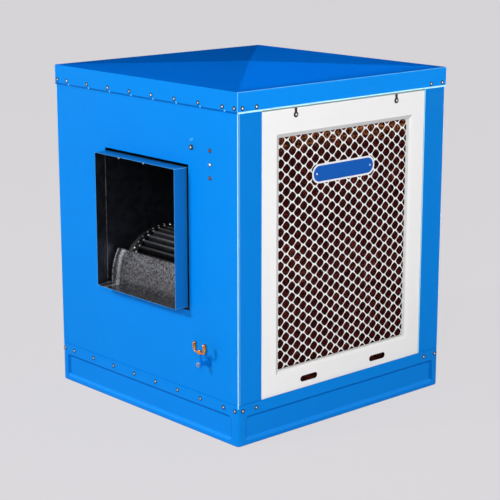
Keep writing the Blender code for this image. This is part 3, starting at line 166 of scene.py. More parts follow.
def rounded(
    path: Array | Profile, radius: float | Sequence[float], steps: int = 4, closed: bool = False
) -> Array:
    """Replace each corner of a polyline by a tangent arc.

    At a corner that turns by an angle t, the arc starts radius * tan(t / 2) before the corner and turns
    the point at its start about its centre by a growing share of t.

    Args:
        path: Points of the polyline, one row each.
        radius: One radius for every corner, or one for each.
        steps: Facets of each arc.
        closed: Whether the last point joins the first.

    Returns:
        The points of the softened line.
    """
    path = np.asarray(path, float)
    before = np.roll(path, 1, axis=0) if closed else path[:-2]
    after = np.roll(path, -1, axis=0) if closed else path[2:]
    corner = path if closed else path[1:-1]
    into, out = corner - before, after - corner
    reach_in, reach_out = np.linalg.norm(into, axis=1), np.linalg.norm(out, axis=1)
    into, out = into / reach_in[:, None], out / reach_out[:, None]
    turn = np.arctan2(into[:, 0] * out[:, 1] - into[:, 1] * out[:, 0], (into * out).sum(axis=1))
    slope = np.maximum(np.tan(np.abs(turn) / 2), TINY)
    back = np.minimum(np.asarray(radius) * slope, ARC_SHARE * np.minimum(reach_in, reach_out))
    side = np.stack([-into[:, 1], into[:, 0]], axis=1) * np.sign(turn)[:, None]
    start = corner - into * back[:, None]
    arm = -side * (back / slope)[:, None]
    angle = turn[:, None] * np.linspace(0.0, 1.0, steps + 1)
    cosine, sine = np.cos(angle), np.sin(angle)
    arc_u = cosine * arm[:, :1] - sine * arm[:, 1:]
    arc_v = sine * arm[:, :1] + cosine * arm[:, 1:]
    line = ((start - arm)[:, None, :] + np.stack([arc_u, arc_v], axis=2)).reshape(-1, 2)
    if not closed:
        line = np.vstack([path[:1], line, path[-1:]])
    start = line[-1:] if closed else line[:1] - 1.0
    return line[np.linalg.norm(np.diff(line, axis=0, prepend=start), axis=1) > SPECK]


def offset(path: Array, distance: float) -> Array:
    """Shift an open polyline to its left, each point along the mitre of the sides that meet there.

    Args:
        path: Points of the polyline, one row each.
        distance: How far to shift it.

    Returns:
        The shifted points.
    """
    ways = np.diff(path, axis=0)
    ways /= np.linalg.norm(ways, axis=1)[:, None]
    lefts = np.stack([-ways[:, 1], ways[:, 0]], axis=1)
    mitre = np.vstack([lefts[:1], lefts]) + np.vstack([lefts, lefts[-1:]])
    return path + mitre * (2 * distance / (mitre**2).sum(axis=1))[:, None]


def rectangle_loop(low: Array, high: Array, radius: Array, steps: int = 5) -> Array:
    """Rounded rectangles, one for each row of corners.

    Each corner is a quarter circle whose centre lies a radius inside both sides.

    Args:
        low: Lower corners, one row each.
        high: Upper corners, one row each.
        radius: The corner radius of each row.
        steps: Facets of each quarter circle.

    Returns:
        Points as rows, columns round the loop, and two coordinates.
    """
    angle = np.linspace(0.0, math.pi / 2, steps + 1)
    loops = []
    for quarter, (wide, tall) in enumerate(((1, 1), (0, 1), (0, 0), (1, 0))):
        swing = angle + quarter * math.pi / 2
        centre_u = np.where(wide, high[:, 0] - radius, low[:, 0] + radius)
        centre_v = np.where(tall, high[:, 1] - radius, low[:, 1] + radius)
        u = centre_u[:, None] + radius[:, None] * np.cos(swing)
        v = centre_v[:, None] + radius[:, None] * np.sin(swing)
        loops.append(np.stack([u, v], axis=2))
    return np.concatenate(loops, axis=1)


def stadium(straight: float, radius: float, steps: int = 12) -> Array:
    """A slot outline about the origin: two half circles joined by straight sides.

    Args:
        straight: Half the length of a straight side.
        radius: The radius of the ends.
        steps: Facets of each half circle.

    Returns:
        The points round the outline.
    """
    angle = np.linspace(-math.pi / 2, math.pi / 2, steps + 1)
    right = np.stack([straight + radius * np.cos(angle), radius * np.sin(angle)], axis=1)
    return np.vstack([right, -right])


def lift(plane: Array, along: float | Array, axis: Axis) -> Array:
    """Points (u, v) with a place along an axis, spread over them: (a, u, v), (u, a, v) or (u, v, a)."""
    along = np.broadcast_to(np.asarray(along, float)[..., None], plane.shape[:-1] + (1,))
    return np.concatenate([plane[..., :axis], along, plane[..., axis:]], axis=-1)


def turn_about(axis: Axis, angle: float | Array) -> Array:
    """Rotation matrices about a world axis, by the cosine and the sine of each angle.

    Args:
        axis: The axis.
        angle: One angle in radians, or an array of them.

    Returns:
        A matrix of 3 by 3 for each angle.
    """
    angle = np.asarray(angle, float)
    first, second = (int(axis) + 1) % 3, (int(axis) + 2) % 3
    matrix = np.zeros(angle.shape + (3, 3))
    matrix[..., axis, axis] = 1.0
    matrix[..., first, first] = matrix[..., second, second] = np.cos(angle)
    matrix[..., second, first] = np.sin(angle)
    matrix[..., first, second] = -np.sin(angle)
    return matrix


def smooth(share: Array) -> Array:
    """Ease from 0 to 1 with level ends: 3 s squared less 2 s cubed."""
    share = np.clip(share, 0.0, 1.0)
    return share * share * (3.0 - 2.0 * share)


# Surfaces


@dataclass
class Surface:
    """A mesh as arrays: points, quads that index them, and the finish number of each quad."""

    points: Array
    quads: Array
    tints: Array

    @classmethod
    def grid(cls, points: Array, rows: bool = False, columns: bool = False, tint: int = 0) -> Surface:
        """Quads over a grid of points.

        Args:
            points: Rows, columns and three coordinates.
            rows: Whether the last row joins the first.
            columns: Whether the last column joins the first.
            tint: The finish number of every quad.

        Returns:
            The surface.
        """
        index = np.arange(points.shape[0] * points.shape[1]).reshape(points.shape[:2])
        if rows:
            index = np.vstack([index, index[:1]])
        if columns:
            index = np.hstack([index, index[:, :1]])
        corners = [index[:-1, :-1], index[:-1, 1:], index[1:, 1:], index[1:, :-1]]
        quads = np.stack(corners, axis=-1).reshape(-1, 4)
        return cls(points.reshape(-1, 3), quads, np.full(len(quads), tint))

    @classmethod
    def shell(cls, outer: Array, inner: Array, loop: bool = False) -> Surface:
        """A closed wall: out along one grid and back along another of the same shape.

        Args:
            outer: Rows, columns and three coordinates of the outer skin.
            inner: The inner skin.
            loop: Whether the columns close on themselves; if not, both ends are capped.

        Returns:
            The surface.
        """
        wall = cls.grid(np.concatenate([outer, inner[::-1]]), rows=True, columns=loop)
        if loop:
            return wall
        caps = [np.stack([outer[:, end], inner[:, end]], axis=1) for end in (0, -1)]
        return cls.joined([wall, *map(cls.grid, caps)])

    @classmethod
    def joined(cls, parts: Iterable[Surface]) -> Surface:
        """Several surfaces as one."""
        return functools.reduce(cls.__add__, parts)

    def __add__(self, other: Surface) -> Surface:
        """Both surfaces as one."""
        return Surface(
            np.vstack([self.points, other.points]),
            np.vstack([self.quads, other.quads + len(self.points)]),
            np.concatenate([self.tints, other.tints]),
        )

    def placed(self, matrix: Array | None = None, shift: Sequence[float] = (0.0, 0.0, 0.0)) -> Surface:
        """The surface turned by a matrix and then moved."""
        points = self.points if matrix is None else self.points @ matrix.T
        return Surface(points + np.asarray(shift), self.quads, self.tints)

    def copies(self, matrices: Array, shifts: Array) -> Surface:
        """Copies of the surface: each point is turned by a copy's matrix and then moved by its shift.

        Args:
            matrices: One matrix for each copy.
            shifts: One shift for each copy.

        Returns:
            All the copies as one surface.
        """
        points = np.einsum("kij,nj->kni", matrices, self.points) + shifts[:, None, :]
        count = len(matrices)
        quads = self.quads[None] + (np.arange(count) * len(self.points))[:, None, None]
        return Surface(points.reshape(-1, 3), quads.reshape(-1, 4), np.tile(self.tints, count))

    def kept(self, mask: Array) -> Surface:
        """The quads that a mask keeps."""
        return Surface(self.points, self.quads[mask], self.tints[mask])

    def middles(self) -> Array:
        """The middle of each quad."""
        return self.points[self.quads].mean(axis=1)

    def _crosses(self) -> Array:
        """The product of each quad's diagonals."""
        corner = self.points[self.quads]
        return np.cross(corner[:, 2] - corner[:, 0], corner[:, 3] - corner[:, 1])

    def normals(self) -> Array:
        """Each quad's normal, from its diagonals' product, on the side away from the Z axis.

        Returns:
            One unit vector for each quad.
        """
        cross = self._crosses()
        cross = cross / np.maximum(np.linalg.norm(cross, axis=1), WELD**2)[:, None]
        return cross * np.where((cross * self.middles())[:, :2].sum(axis=1) < 0, -1.0, 1.0)[:, None]

    def solid_only(self) -> Surface:
        """The quads that have some area."""
        return self.kept(np.linalg.norm(self._crosses(), axis=1) > TINY)

    def mesh(self, name: str, outward: bool = True) -> bpy.types.Mesh:
        """The surface as a mesh, with near points merged and slivers dissolved.

        Args:
            name: The mesh's name.
            outward: Whether to turn the faces outwards, for a closed shell.

        Returns:
            The mesh.
        """
        made = bpy.data.meshes.new(name)
        made.from_pydata(self.points.tolist(), [], self.quads.tolist())
        made.polygons.foreach_set("material_index", self.tints.astype(np.int32))
        work = bmesh.new()
        work.from_mesh(made)
        bmesh.ops.remove_doubles(work, verts=work.verts[:], dist=WELD)
        bmesh.ops.dissolve_degenerate(work, edges=work.edges[:], dist=WELD)
        if outward:
            bmesh.ops.recalc_face_normals(work, faces=work.faces[:])
        work.to_mesh(made)
        work.free()
        return made


def show(name: str, data: bpy.types.ID) -> bpy.types.Object:
    """Put a mesh, a lamp or a camera into the scene as an object.

    Args:
        name: The object's name.
        data: What it shows.

    Returns:
        The object.
    """
    made = bpy.data.objects.new(name, data)
    bpy.context.collection.objects.link(made)
    return made


def turned(
    profile: Array | Profile,
    axis: Axis,
    centre: Pair = ORIGIN,
    sides: int = 40,
    soften: float = 0.0006,
    tint: int = 0,
) -> Surface:
    """A profile of (along, radius) points turned once about an axis.

    Args:
        profile: The profile, closed by the axis where its ends have no radius, and else on itself.
        axis: The axis of the turn.
        centre: Where the axis stands in the other two coordinates.
        sides: Facets round the axis.
        soften: The radius that corners of the profile are rounded to.
        tint: The finish number of every quad.

    Returns:
        The closed surface.
    """
    profile = np.asarray(profile, float)
    bored = profile[0, 1] > WELD
    line = rounded(profile, soften, steps=3, closed=bored)
    angle = np.linspace(0.0, 2 * math.pi, sides, endpoint=False)
    spread = line[:, 1, None, None] * np.stack([np.cos(angle), np.sin(angle)], axis=1)
    points = lift(spread + np.asarray(centre), line[:, :1], axis)
    return Surface.grid(points, rows=bool(bored), columns=True, tint=tint)


def raised(level: float, profile: Profile, way: float = 1.0) -> list[Pair]:
    """A profile of (along, radius) points set out from a level, forwards or backwards."""
    return [(level + way * along, radius) for along, radius in profile]


def rod(low: float, high: float, radius: float) -> list[Pair]:
    """The profile of a plain rod from one place along its axis to another."""
    return [(low, 0.0), (low, radius), (high, radius), (high, 0.0)]


def bent_sheet(path: Array, thickness: float, axis: Axis, ends: Sequence[float]) -> Surface:
    """A sheet bent along a plane path, thickened to its left and drawn out between two ends."""
    lines = (path, offset(path, thickness))
    return Surface.shell(*(np.stack([lift(line, end, axis) for end in ends]) for line in lines))


def slab(outline: Array, axis: Axis, ends: Pair, soften: float) -> Surface:
    """A flat outline drawn out along an axis, with softened rims and both faces closed to its middle.

    The outline shrinks towards its middle by the softening radius as it nears each end.

    Args:
        outline: The closed outline as (u, v) points.
        axis: The axis that it is drawn out along.
        ends: Where it starts and ends along the axis.
        soften: The rim radius.

    Returns:
        The closed surface.
    """
    middle = outline.mean(axis=0)
    reach = outline - middle
    size = np.linalg.norm(reach, axis=1).max()
    swing = np.linspace(0.0, math.pi / 2, 4)
    inset = soften * (1.0 - np.sin(swing))
    depth = soften * (1.0 - np.cos(swing))
    low, high = ends
    along = np.concatenate([[low], low + depth, high - depth[::-1], [high]])
    share = np.concatenate([[0.0], 1.0 - inset / size, 1.0 - inset[::-1] / size, [0.0]])
    plane = middle + share[:, None, None] * reach
    return Surface.grid(lift(plane, along[:, None], axis), columns=True)


def box_surface(low: Sequence[float], high: Sequence[float], soften: float = 0.0008) -> Surface:
    """A block between two opposite corners, with softened upright edges and rims.

    Args:
        low: The lower corner.
        high: The upper corner.
        soften: The rims' radius, and half the upright edges'.

    Returns:
        The closed surface.
    """
    low, high = np.asarray(low, float), np.asarray(high, float)
    loop = rectangle_loop(low[None, :2], high[None, :2], np.array([soften * 2]), steps=2)[0]
    return slab(loop, Axis.Z, (low[2], high[2]), soften)


def tube_along(path: Array, radius: float | Array, sides: int = 20) -> Surface:
    """A round tube along a space path, closed at both ends.

    A section's circle lies across the tangent, in the plane of the tangent's product with one fixed
    direction and the product of the two.

    Args:
        path: The points of the path.
        radius: The tube's radius, or one for each point.
        sides: Facets round the tube.

    Returns:
        The closed surface.
    """
    tangent = np.gradient(path, axis=0)
    tangent /= np.linalg.norm(tangent, axis=1)[:, None]
    side = np.cross(tangent, ASLANT)
    side /= np.linalg.norm(side, axis=1)[:, None]
    other = np.cross(tangent, side)
    angle = np.linspace(0.0, 2 * math.pi, sides, endpoint=False)
    ring = np.cos(angle)[None, :, None] * side[:, None] + np.sin(angle)[None, :, None] * other[:, None]
    body = path[:, None] + np.broadcast_to(radius, len(path))[:, None, None] * ring
    ends = [np.repeat(path[[end], None], sides, axis=1) for end in (0, -1)]
    return Surface.grid(np.concatenate([ends[0], body, ends[1]]), columns=True)


def smooth_route(points: Sequence[Sequence[float]], steps: int) -> Array:
    """A curve through points in space, by the cubic whose slope at a point is half the step across it.

    Args:
        points: The points.
        steps: Points of the curve for each step from one to the next.

    Returns:
        The curve's points.
    """
    route = np.asarray(points, float)
    route = np.vstack([2 * route[0] - route[1], route, 2 * route[-1] - route[-2]])
    before, start, end, after = route[:-3, None], route[1:-2, None], route[2:-1, None], route[3:, None]
    t = np.linspace(0.0, 1.0, steps, endpoint=False)[None, :, None]
    bend = 2 * before - 5 * start + 4 * end - after
    twist = 3 * start - before - 3 * end + after
    curve = start + 0.5 * (t * (end - before) + t * t * bend + t**3 * twist)
    return np.vstack([curve.reshape(-1, 3), route[-2]])


# Shader expressions


class Term:
    """A shader value that ordinary operators combine through Math nodes."""

    def __init__(self, tree: Tree, socket: bpy.types.NodeSocket) -> None:
        """Hold a socket of a tree."""
        self.tree = tree
        self.socket = socket

    def _math(self, operation: str, first: Term | float, second: Term | float) -> Term:
        """A Math node on two values."""
        return self.tree.node("ShaderNodeMath", {"operation": operation}, {0: first, 1: second})

    def __add__(self, other: Term | float) -> Term:
        """Sum."""
        return self._math("ADD", self, other)

    def __sub__(self, other: Term | float) -> Term:
        """Difference."""
        return self._math("SUBTRACT", self, other)

    def __rsub__(self, other: float) -> Term:
        """Difference from a number."""
        return self._math("SUBTRACT", other, self)

    def __mul__(self, other: Term | float) -> Term:
        """Product."""
        return self._math("MULTIPLY", self, other)

    __radd__ = __add__
    __rmul__ = __mul__

    def between(self, low: float, high: float) -> Term:
        """Where the value stands from low, 0, to high, 1, kept within them."""
        sockets = {"Value": self, "From Min": low, "From Max": high}
        return self.tree.node("ShaderNodeMapRange", {"interpolation_type": "SMOOTHSTEP"}, sockets)

    def largest(self, other: Term | float) -> Term:
        """The larger of two values."""
        return self._math("MAXIMUM", self, other)


class Tree:
    """A node tree that is written as expressions."""

    def __init__(self, tree: bpy.types.NodeTree) -> None:
        """Start from an emptied tree."""
        self.tree = tree
        tree.nodes.clear()

    def node(
        self,
        kind: str,
        settings: dict[str, object] | None = None,
        sockets: dict[int | str, object] | None = None,
        output: int | str = 0,
    ) -> Term:
        """Add one node.

        Args:
            kind: The node's type.
            settings: Its properties.
            sockets: Values or terms for its inputs, by name or number.
            output: The output to hand on.

        Returns:
            That output as a term.
        """
        made = self.tree.nodes.new(kind)
        for key, value in (settings or {}).items():
            setattr(made, key, value)
        for key, value in (sockets or {}).items():
            if isinstance(value, Term):
                self.tree.links.new(value.socket, made.inputs[key])
            else:
                made.inputs[key].default_value = value
        return Term(self, made.outputs[output])

    def along(self, axis: Axis, output: str = "Object") -> Term:
        """Where a point stands along an axis, or how far a direction of the world leans that way."""
        spot = self.node("ShaderNodeTexCoord", output=output)
        return self.node("ShaderNodeSeparateXYZ", None, {0: spot}, axis.name)

    def place(self, stretch: Triple = (1.0, 1.0, 1.0), turn: Triple = (0.0, 0.0, 0.0)) -> Term:
        """Object coordinates, turned and stretched."""
        spot = self.node("ShaderNodeTexCoord", output="Object")
        return self.node("ShaderNodeMapping", None, {"Vector": spot, "Rotation": turn, "Scale": stretch})

    def noise(self, scale: float, detail: float = 3.0, rough: float = 0.5, at: Term | None = None) -> Term:
        """Fractal noise over the surface, from 0 to 1."""
        sockets = {"Vector": at or self.place(), "Scale": scale, "Detail": detail, "Roughness": rough}
        return self.node("ShaderNodeTexNoise", None, sockets)

    def mix(self, share: Term | float, first: Term | Colour, second: Term | Colour) -> Term:
        """One colour into another.

        Args:
            share: How much of the second colour to take.
            first: The first colour.
            second: The second colour.

        Returns:
            The mixed colour.
        """

        def four(value: Term | Colour) -> Term | tuple[float, ...]:
            """A colour with its alpha, or the term as it is."""
            return value if isinstance(value, Term) else (*value, 1.0)

        sockets = {0: share, 6: four(first), 7: four(second)}
        return self.node("ShaderNodeMix", {"data_type": "RGBA"}, sockets, 2)

    def bump(self, height: Term, strength: float, distance: float) -> Term:
        """A normal from a height."""
        sockets = {"Height": height, "Strength": strength, "Distance": distance}
        return self.node("ShaderNodeBump", None, sockets)

    def close(self, shader: Term, kind: str = "ShaderNodeOutputMaterial") -> None:
        """Send a shader to the tree's output."""
        self.tree.links.new(shader.socket, self.tree.nodes.new(kind).inputs["Surface"])


def tone(red: int, green: int, blue: int) -> Colour:
    """A colour given in the 0 to 255 steps of a screen, as linear light.

    A step up to 0.04045 of the whole is divided by 12.92; a larger one goes up by a power of 2.4.

    Args:
        red: The red step.
        green: The green step.
        blue: The blue step.

    Returns:
        The colour.
    """
    steps = np.array([red, green, blue]) / 255.0
    linear = np.where(steps <= 0.04045, steps / 12.92, ((steps + 0.055) / 1.055) ** 2.4)
    return tuple(float(value) for value in linear)


@dataclass(frozen=True)
class Finish:
    """A surface finish; each kind fills in the sockets of one principled shader."""

    name: str
    colour: Colour
    roughness: float = 0.4
    slot: str = ""

    def sockets(self, tree: Tree) -> dict[str, object]:
        """The value or term of each of the shader's sockets, in each kind of finish's own way."""
        raise NotImplementedError

    def material(self) -> bpy.types.Material:
        """The finish as a material, made the first time it is asked for.

        Returns:
            The material.
        """
        found = bpy.data.materials.get(self.name)
        if found:
            return found
        made = bpy.data.materials.new(self.name)
        made.use_nodes = True
        tree = Tree(made.node_tree)
        tree.close(tree.node("ShaderNodeBsdfPrincipled", None, self.sockets(tree)))
        return made


@dataclass(frozen=True)
class PaintedSheet(Finish):
    """Powder coat on sheet steel: faint blotches, dust near the foot and a fine orange peel."""

    slot: str = "cabinet_blue"
    deep: Colour = (0.0, 0.1, 0.5)
    dust: Colour = (0.5, 0.5, 0.5)
    dust_share: float = 0.0
    dust_from: float = 0.9
    dust_to: float = 0.1
    shine: float = 0.5
    wave: float = 0.6

    def sockets(self, tree: Tree) -> dict[str, object]:
        """Blend paint, blotch and dust by noise and height; bump with the orange peel.

        Args:
            tree: The tree that the terms are made in.

        Returns:
            The value or term of each socket.
        """
        blotch = tree.noise(2.4, 4.0, 0.6).between(0.35, 0.75)
        smear = tree.noise(7.0, 5.0, 0.65, tree.place((1.0, 1.0, 0.6)))
        paint = tree.mix(blotch * 0.35, self.colour, self.deep)
        low = tree.along(Axis.Z).between(self.dust_from, self.dust_to) * self.dust_share
        dusty = tree.mix(low * (smear * 0.5 + 0.6), paint, self.dust)
        peel = tree.noise(420.0, 2.0, 0.5)
        wave = tree.noise(9.0, 1.0, 0.3)
        normal = tree.bump(peel * 0.06 + wave * self.wave, 0.16, 0.002)
        rough = self.roughness + (smear - 0.5) * 0.16
        coat = {"Base Color": dusty, "Roughness": rough, "Normal": normal}
        return coat | {"Specular IOR Level": self.shine}


@dataclass(frozen=True)
class ZincSheet(Finish):
    """Galvanised sheet: spangles of several greys and shines, with a little tarnish."""

    slot: str = "galvanised"
    dark: Colour = (0.12, 0.12, 0.125)
    scale: float = 70.0
    tarnish: Colour = (0.22, 0.19, 0.16)
    # The streak is a painted highlight: a pale band across X.
    streak: Colour = (0.75, 0.76, 0.78)
    highlight_streak_at: float | None = None
    highlight_streak_half: float = 0.014

    def sockets(self, tree: Tree) -> dict[str, object]:
        """Cells give each spangle its grey and shine; noise stains the sheet and breaks up a streak, a
        painted highlight.

        Args:
            tree: The tree that the terms are made in.

        Returns:
            The value or term of each socket.
        """
        warp = tree.noise(30.0, 2.0)
        spread = {"Vector": tree.place(), "Scale": self.scale}
        cells = tree.node("ShaderNodeTexVoronoi", {"feature": "F1"}, spread, "Color")
        grain = tree.node("ShaderNodeSeparateColor", None, {0: cells}, 0)
        spangle = grain * 0.75 + warp * 0.25
        sheet = tree.mix(spangle, self.dark, self.colour)
        stain = tree.noise(5.0, 5.0, 0.65).between(0.52, 0.8) * 0.45
        colour = tree.mix(stain, sheet, self.tarnish)
        # A painted highlight: a pale band round one place along X.
        if self.highlight_streak_at is not None:
            x = tree.along(Axis.X) + (warp - 0.5) * 0.012
            rise = x.between(self.highlight_streak_at - self.highlight_streak_half, self.highlight_streak_at)
            fall = x.between(self.highlight_streak_at + self.highlight_streak_half, self.highlight_streak_at)
            colour = tree.mix(rise * fall * 0.75, colour, self.streak)
        rough = self.roughness + grain * 0.16 + stain * 0.2
        normal = tree.bump(spangle, 0.12, 0.0006)
        return {"Base Color": colour, "Roughness": rough, "Metallic": 0.85, "Normal": normal}


@dataclass(frozen=True)
class BareMetal(Finish):
    """Cast or turned metal with tarnish in soft patches and fine tool marks."""

    slot: str = "steel"
    tarnish: Colour = (0.1, 0.08, 0.06)
    metallic: float = 1.0
    tarnish_share: float = 0.5

    def sockets(self, tree: Tree) -> dict[str, object]:
        """Patches darken and dull the metal; a fine grain bumps it.

        Args:
            tree: The tree that the terms are made in.

        Returns:
            The value or term of each socket.
        """
        patch = tree.noise(38.0, 5.0, 0.6).between(0.42, 0.74)
        grain = tree.noise(520.0, 2.0, 0.5)
        colour = tree.mix(patch * self.tarnish_share, self.colour, self.tarnish)
        rough = self.roughness + patch * 0.22 + grain * 0.06
        normal = tree.bump(grain, 0.12, 0.0006)
        return {"Base Color": colour, "Roughness": rough, "Metallic": self.metallic, "Normal": normal}


@dataclass(frozen=True)
class Moulding(Finish):
    """Moulded plastic, enamel or rubber: slight mottling, dust and a fine grain."""

    slot: str = "black_plastic"
    dust: Colour = (0.3, 0.29, 0.27)
    dust_share: float = 0.18
    grain: float = 0.15

    def sockets(self, tree: Tree) -> dict[str, object]:
        """Noise lays the dust and the grain.

        Args:
            tree: The tree that the terms are made in.

        Returns:
            The value or term of each socket.
        """
        veil = tree.noise(26.0, 5.0, 0.65).between(0.45, 0.85)
        fine = tree.noise(640.0, 2.0, 0.5)
        colour = tree.mix(veil * self.dust_share, self.colour, self.dust)
        rough = self.roughness + veil * 0.15 + (fine - 0.5) * 0.1
        normal = tree.bump(fine, self.grain, 0.0005)
        return {"Base Color": colour, "Roughness": rough, "Normal": normal}


@dataclass(frozen=True)
class PadFibre(Finish):
    """Shredded wood fibre: tangled streaks of several browns with dark gaps, paler and dry at the head."""

    slot: str = "pad_brown"
    pale: Colour = (0.3, 0.12, 0.06)
    gap: Colour = (0.01, 0.004, 0.003)
    dry: Colour = (0.4, 0.2, 0.1)
    dry_from: float = 0.862
    dry_to: float = 0.905
    shine: float = 0.04

    def sockets(self, tree: Tree) -> dict[str, object]:
        """Three sets of stretched noise cross; their ridges are fibres and their valleys gaps.

        Args:
            tree: The tree that the terms are made in.

        Returns:
            The value or term of each socket.
        """
        first = tree.noise(150.0, 3.0, 0.6, tree.place((1.0, 0.16, 1.0), (0.7, 0.0, 0.0)))
        second = tree.noise(150.0, 3.0, 0.6, tree.place((0.16, 1.0, 1.0), (0.0, -0.8, 0.4)))
        third = tree.noise(190.0, 3.0, 0.6, tree.place((1.0, 1.0, 0.15), (0.5, 0.5, 0.0)))
        ridge = first.largest(second).largest(third)
        patch = tree.noise(7.0, 3.0)
        streak = ridge.between(0.5, 0.8)
        wet = tree.mix(patch.between(0.35, 0.7), self.colour, self.pale)
        head = tree.along(Axis.Z).between(self.dry_from, self.dry_to) * (0.5 + patch)
        colour = tree.mix(streak, self.gap, tree.mix(head, wet, self.dry))
        normal = tree.bump(ridge, 0.9, 0.004)
        coat = {"Base Color": colour, "Roughness": self.roughness, "Normal": normal}
        return coat | {"Specular IOR Level": self.shine}


# Finishes of this cooler

BLUE = PaintedSheet(
    "blue powder coat", (0.0008, 0.214, 0.70), deep=(0.0006, 0.198, 0.66), dust=(0.02, 0.22, 0.58),
    dust_share=0.06, dust_from=0.16, dust_to=0.0, shine=0.04,
)
# Painted shade: the top is a darker copy of the walls' blue, for the weaker light that falls on it.
SHADED_ROOF_BLUE = PaintedSheet(
    "blue powder coat of the top in painted shade", (0.0008, 0.134, 0.615), 0.55, deep=(0.0006, 0.122, 0.58), shine=0.0,
    wave=0.1,
)
SLEEVE_BLUE = PaintedSheet(
    "blue coat of the sleeve", (0.006, 0.185, 0.52), 0.32, deep=(0.004, 0.17, 0.48), shine=0.3
)
# Painted highlight: a pale colour on bends and on the side hems of the eave, for the light they catch.
PALE_HIGHLIGHT = PaintedSheet("painted pale highlight", (0.40, 0.77, 0.90), 0.3, deep=(0.34, 0.72, 0.88), shine=0.3)
# Painted highlight: a light blue on thin edges, the collar's rim and small marks, for the light they
# catch.
LIGHT_EDGE = PaintedSheet("painted highlight of thin edges", (0.10, 0.42, 0.85), 0.35, deep=(0.08, 0.4, 0.8), shine=0.3)
# Painted shade: a darker blue on the front and back hems under the eave.
DARK_EDGE = PaintedSheet("shaded hem", (0.0006, 0.105, 0.43), 0.5, deep=(0.0004, 0.09, 0.4), shine=0.02)
# Painted light on the recess's upward slope and painted shade on its other slopes.
LIT_RECESS_FOOT = PaintedSheet(
    "recess foot in painted light", (0.003, 0.262, 0.82), deep=(0.002, 0.25, 0.78), shine=0.1
)
SHADED_RECESS_EDGE = PaintedSheet(
    "recess edge in painted shade", (0.0008, 0.15, 0.54), 0.5, deep=(0.0006, 0.14, 0.5), shine=0.02
)
WHITE = PaintedSheet(
    "white powder coat", (0.89, 0.885, 0.88), 0.45, "frame_white", deep=(0.86, 0.852, 0.845),
    dust=(0.74, 0.705, 0.66), dust_share=0.22, dust_from=0.75, dust_to=0.12, shine=0.2,
)
# Painted shade: a grey copy of the white for the frame's bevels that face away from the light.
SHADED_WHITE = PaintedSheet(
    "white coat in painted shade", (0.57, 0.565, 0.565), 0.5, "frame_white", deep=(0.53, 0.525, 0.52), shine=0.1
)
PLATE_BLUE = PaintedSheet(
    "plate blue", (0.0008, 0.098, 0.46), 0.35, "plate_blue", deep=(0.0006, 0.086, 0.42), shine=0.12
)
PLATE_WHITE = PaintedSheet(
    "plate white", (0.86, 0.87, 0.88), 0.35, "plate_blue", deep=(0.8, 0.81, 0.82), shine=0.3
)
ZINC = ZincSheet("galvanised sheet", (0.30, 0.305, 0.315), 0.3, dark=(0.08, 0.08, 0.084), scale=60.0)
# The streak on the cutoff is a painted highlight near its rolled left edge.
FINE_ZINC = ZincSheet(
    "fine galvanised sheet", (0.213, 0.218, 0.236), 0.24, dark=(0.010, 0.010, 0.012), scale=260.0,
    highlight_streak_at=-0.142,
)
# Painted shade: zinc darkened nearly to black for the shade inside the blower and the collar.
SHADED_ZINC = ZincSheet(
    "galvanised sheet in painted shade", (0.044, 0.048, 0.064), 0.34, dark=(0.026, 0.028, 0.040), scale=55.0,
    tarnish=(0.03, 0.029, 0.034),
)
# Painted shade: the wheel's sheet darkened nearly to black, for the shade inside the blower.
BLADE_ZINC = ZincSheet(
    "blade sheet in painted shade", (0.016, 0.017, 0.020), 0.36, dark=(0.006, 0.006, 0.008), scale=150.0,
    tarnish=(0.014, 0.013, 0.012),
)
STEEL = BareMetal("plain steel", (0.52, 0.52, 0.53), 0.32, tarnish=(0.16, 0.14, 0.12), tarnish_share=0.4)
BRIGHT_STEEL = BareMetal(
    "bright steel", (0.88, 0.89, 0.9), 0.25, tarnish=(0.5, 0.5, 0.5), tarnish_share=0.25
)
# Painted highlight on the blades' outer edges.
BLADE_HIGHLIGHT = BareMetal("blade edge in painted highlight", (0.105, 0.108, 0.118), 0.34, tarnish=(0.02, 0.02, 0.022))
BRASS = BareMetal(
    "cast brass", (0.95, 0.36, 0.06), 0.2, "brass", tarnish=(0.12, 0.02, 0.01), tarnish_share=0.85
)
RED_STEEL = BareMetal("browned screw", (0.34, 0.10, 0.06), tarnish=(0.08, 0.03, 0.02))
DARK_STEEL = BareMetal(
    "blackened steel", (0.012, 0.012, 0.014), 0.55, tarnish=(0.05, 0.04, 0.035), metallic=0.6
)
BLACK = Moulding("black moulding", (0.018, 0.018, 0.02), 0.48)
RUBBER = Moulding("black rubber", (0.014, 0.014, 0.014), 0.72, "rubber", dust_share=0.25, grain=0.3)
MOTOR_GREY = Moulding(
    "grey enamel", (0.15, 0.16, 0.175), 0.42, "motor_grey", dust=(0.3, 0.3, 0.29), dust_share=0.3
)
FLOAT_RED = Moulding("red moulding", (0.5, 0.05, 0.025), 0.38, "float_red", dust=(0.45, 0.2, 0.15))
PAD = PadFibre(
    "wood fibre pad", tone(92, 25, 24), 0.95, pale=tone(132, 58, 46), gap=tone(26, 2, 2),
    dry=tone(210, 124, 74),
)


# Making pieces


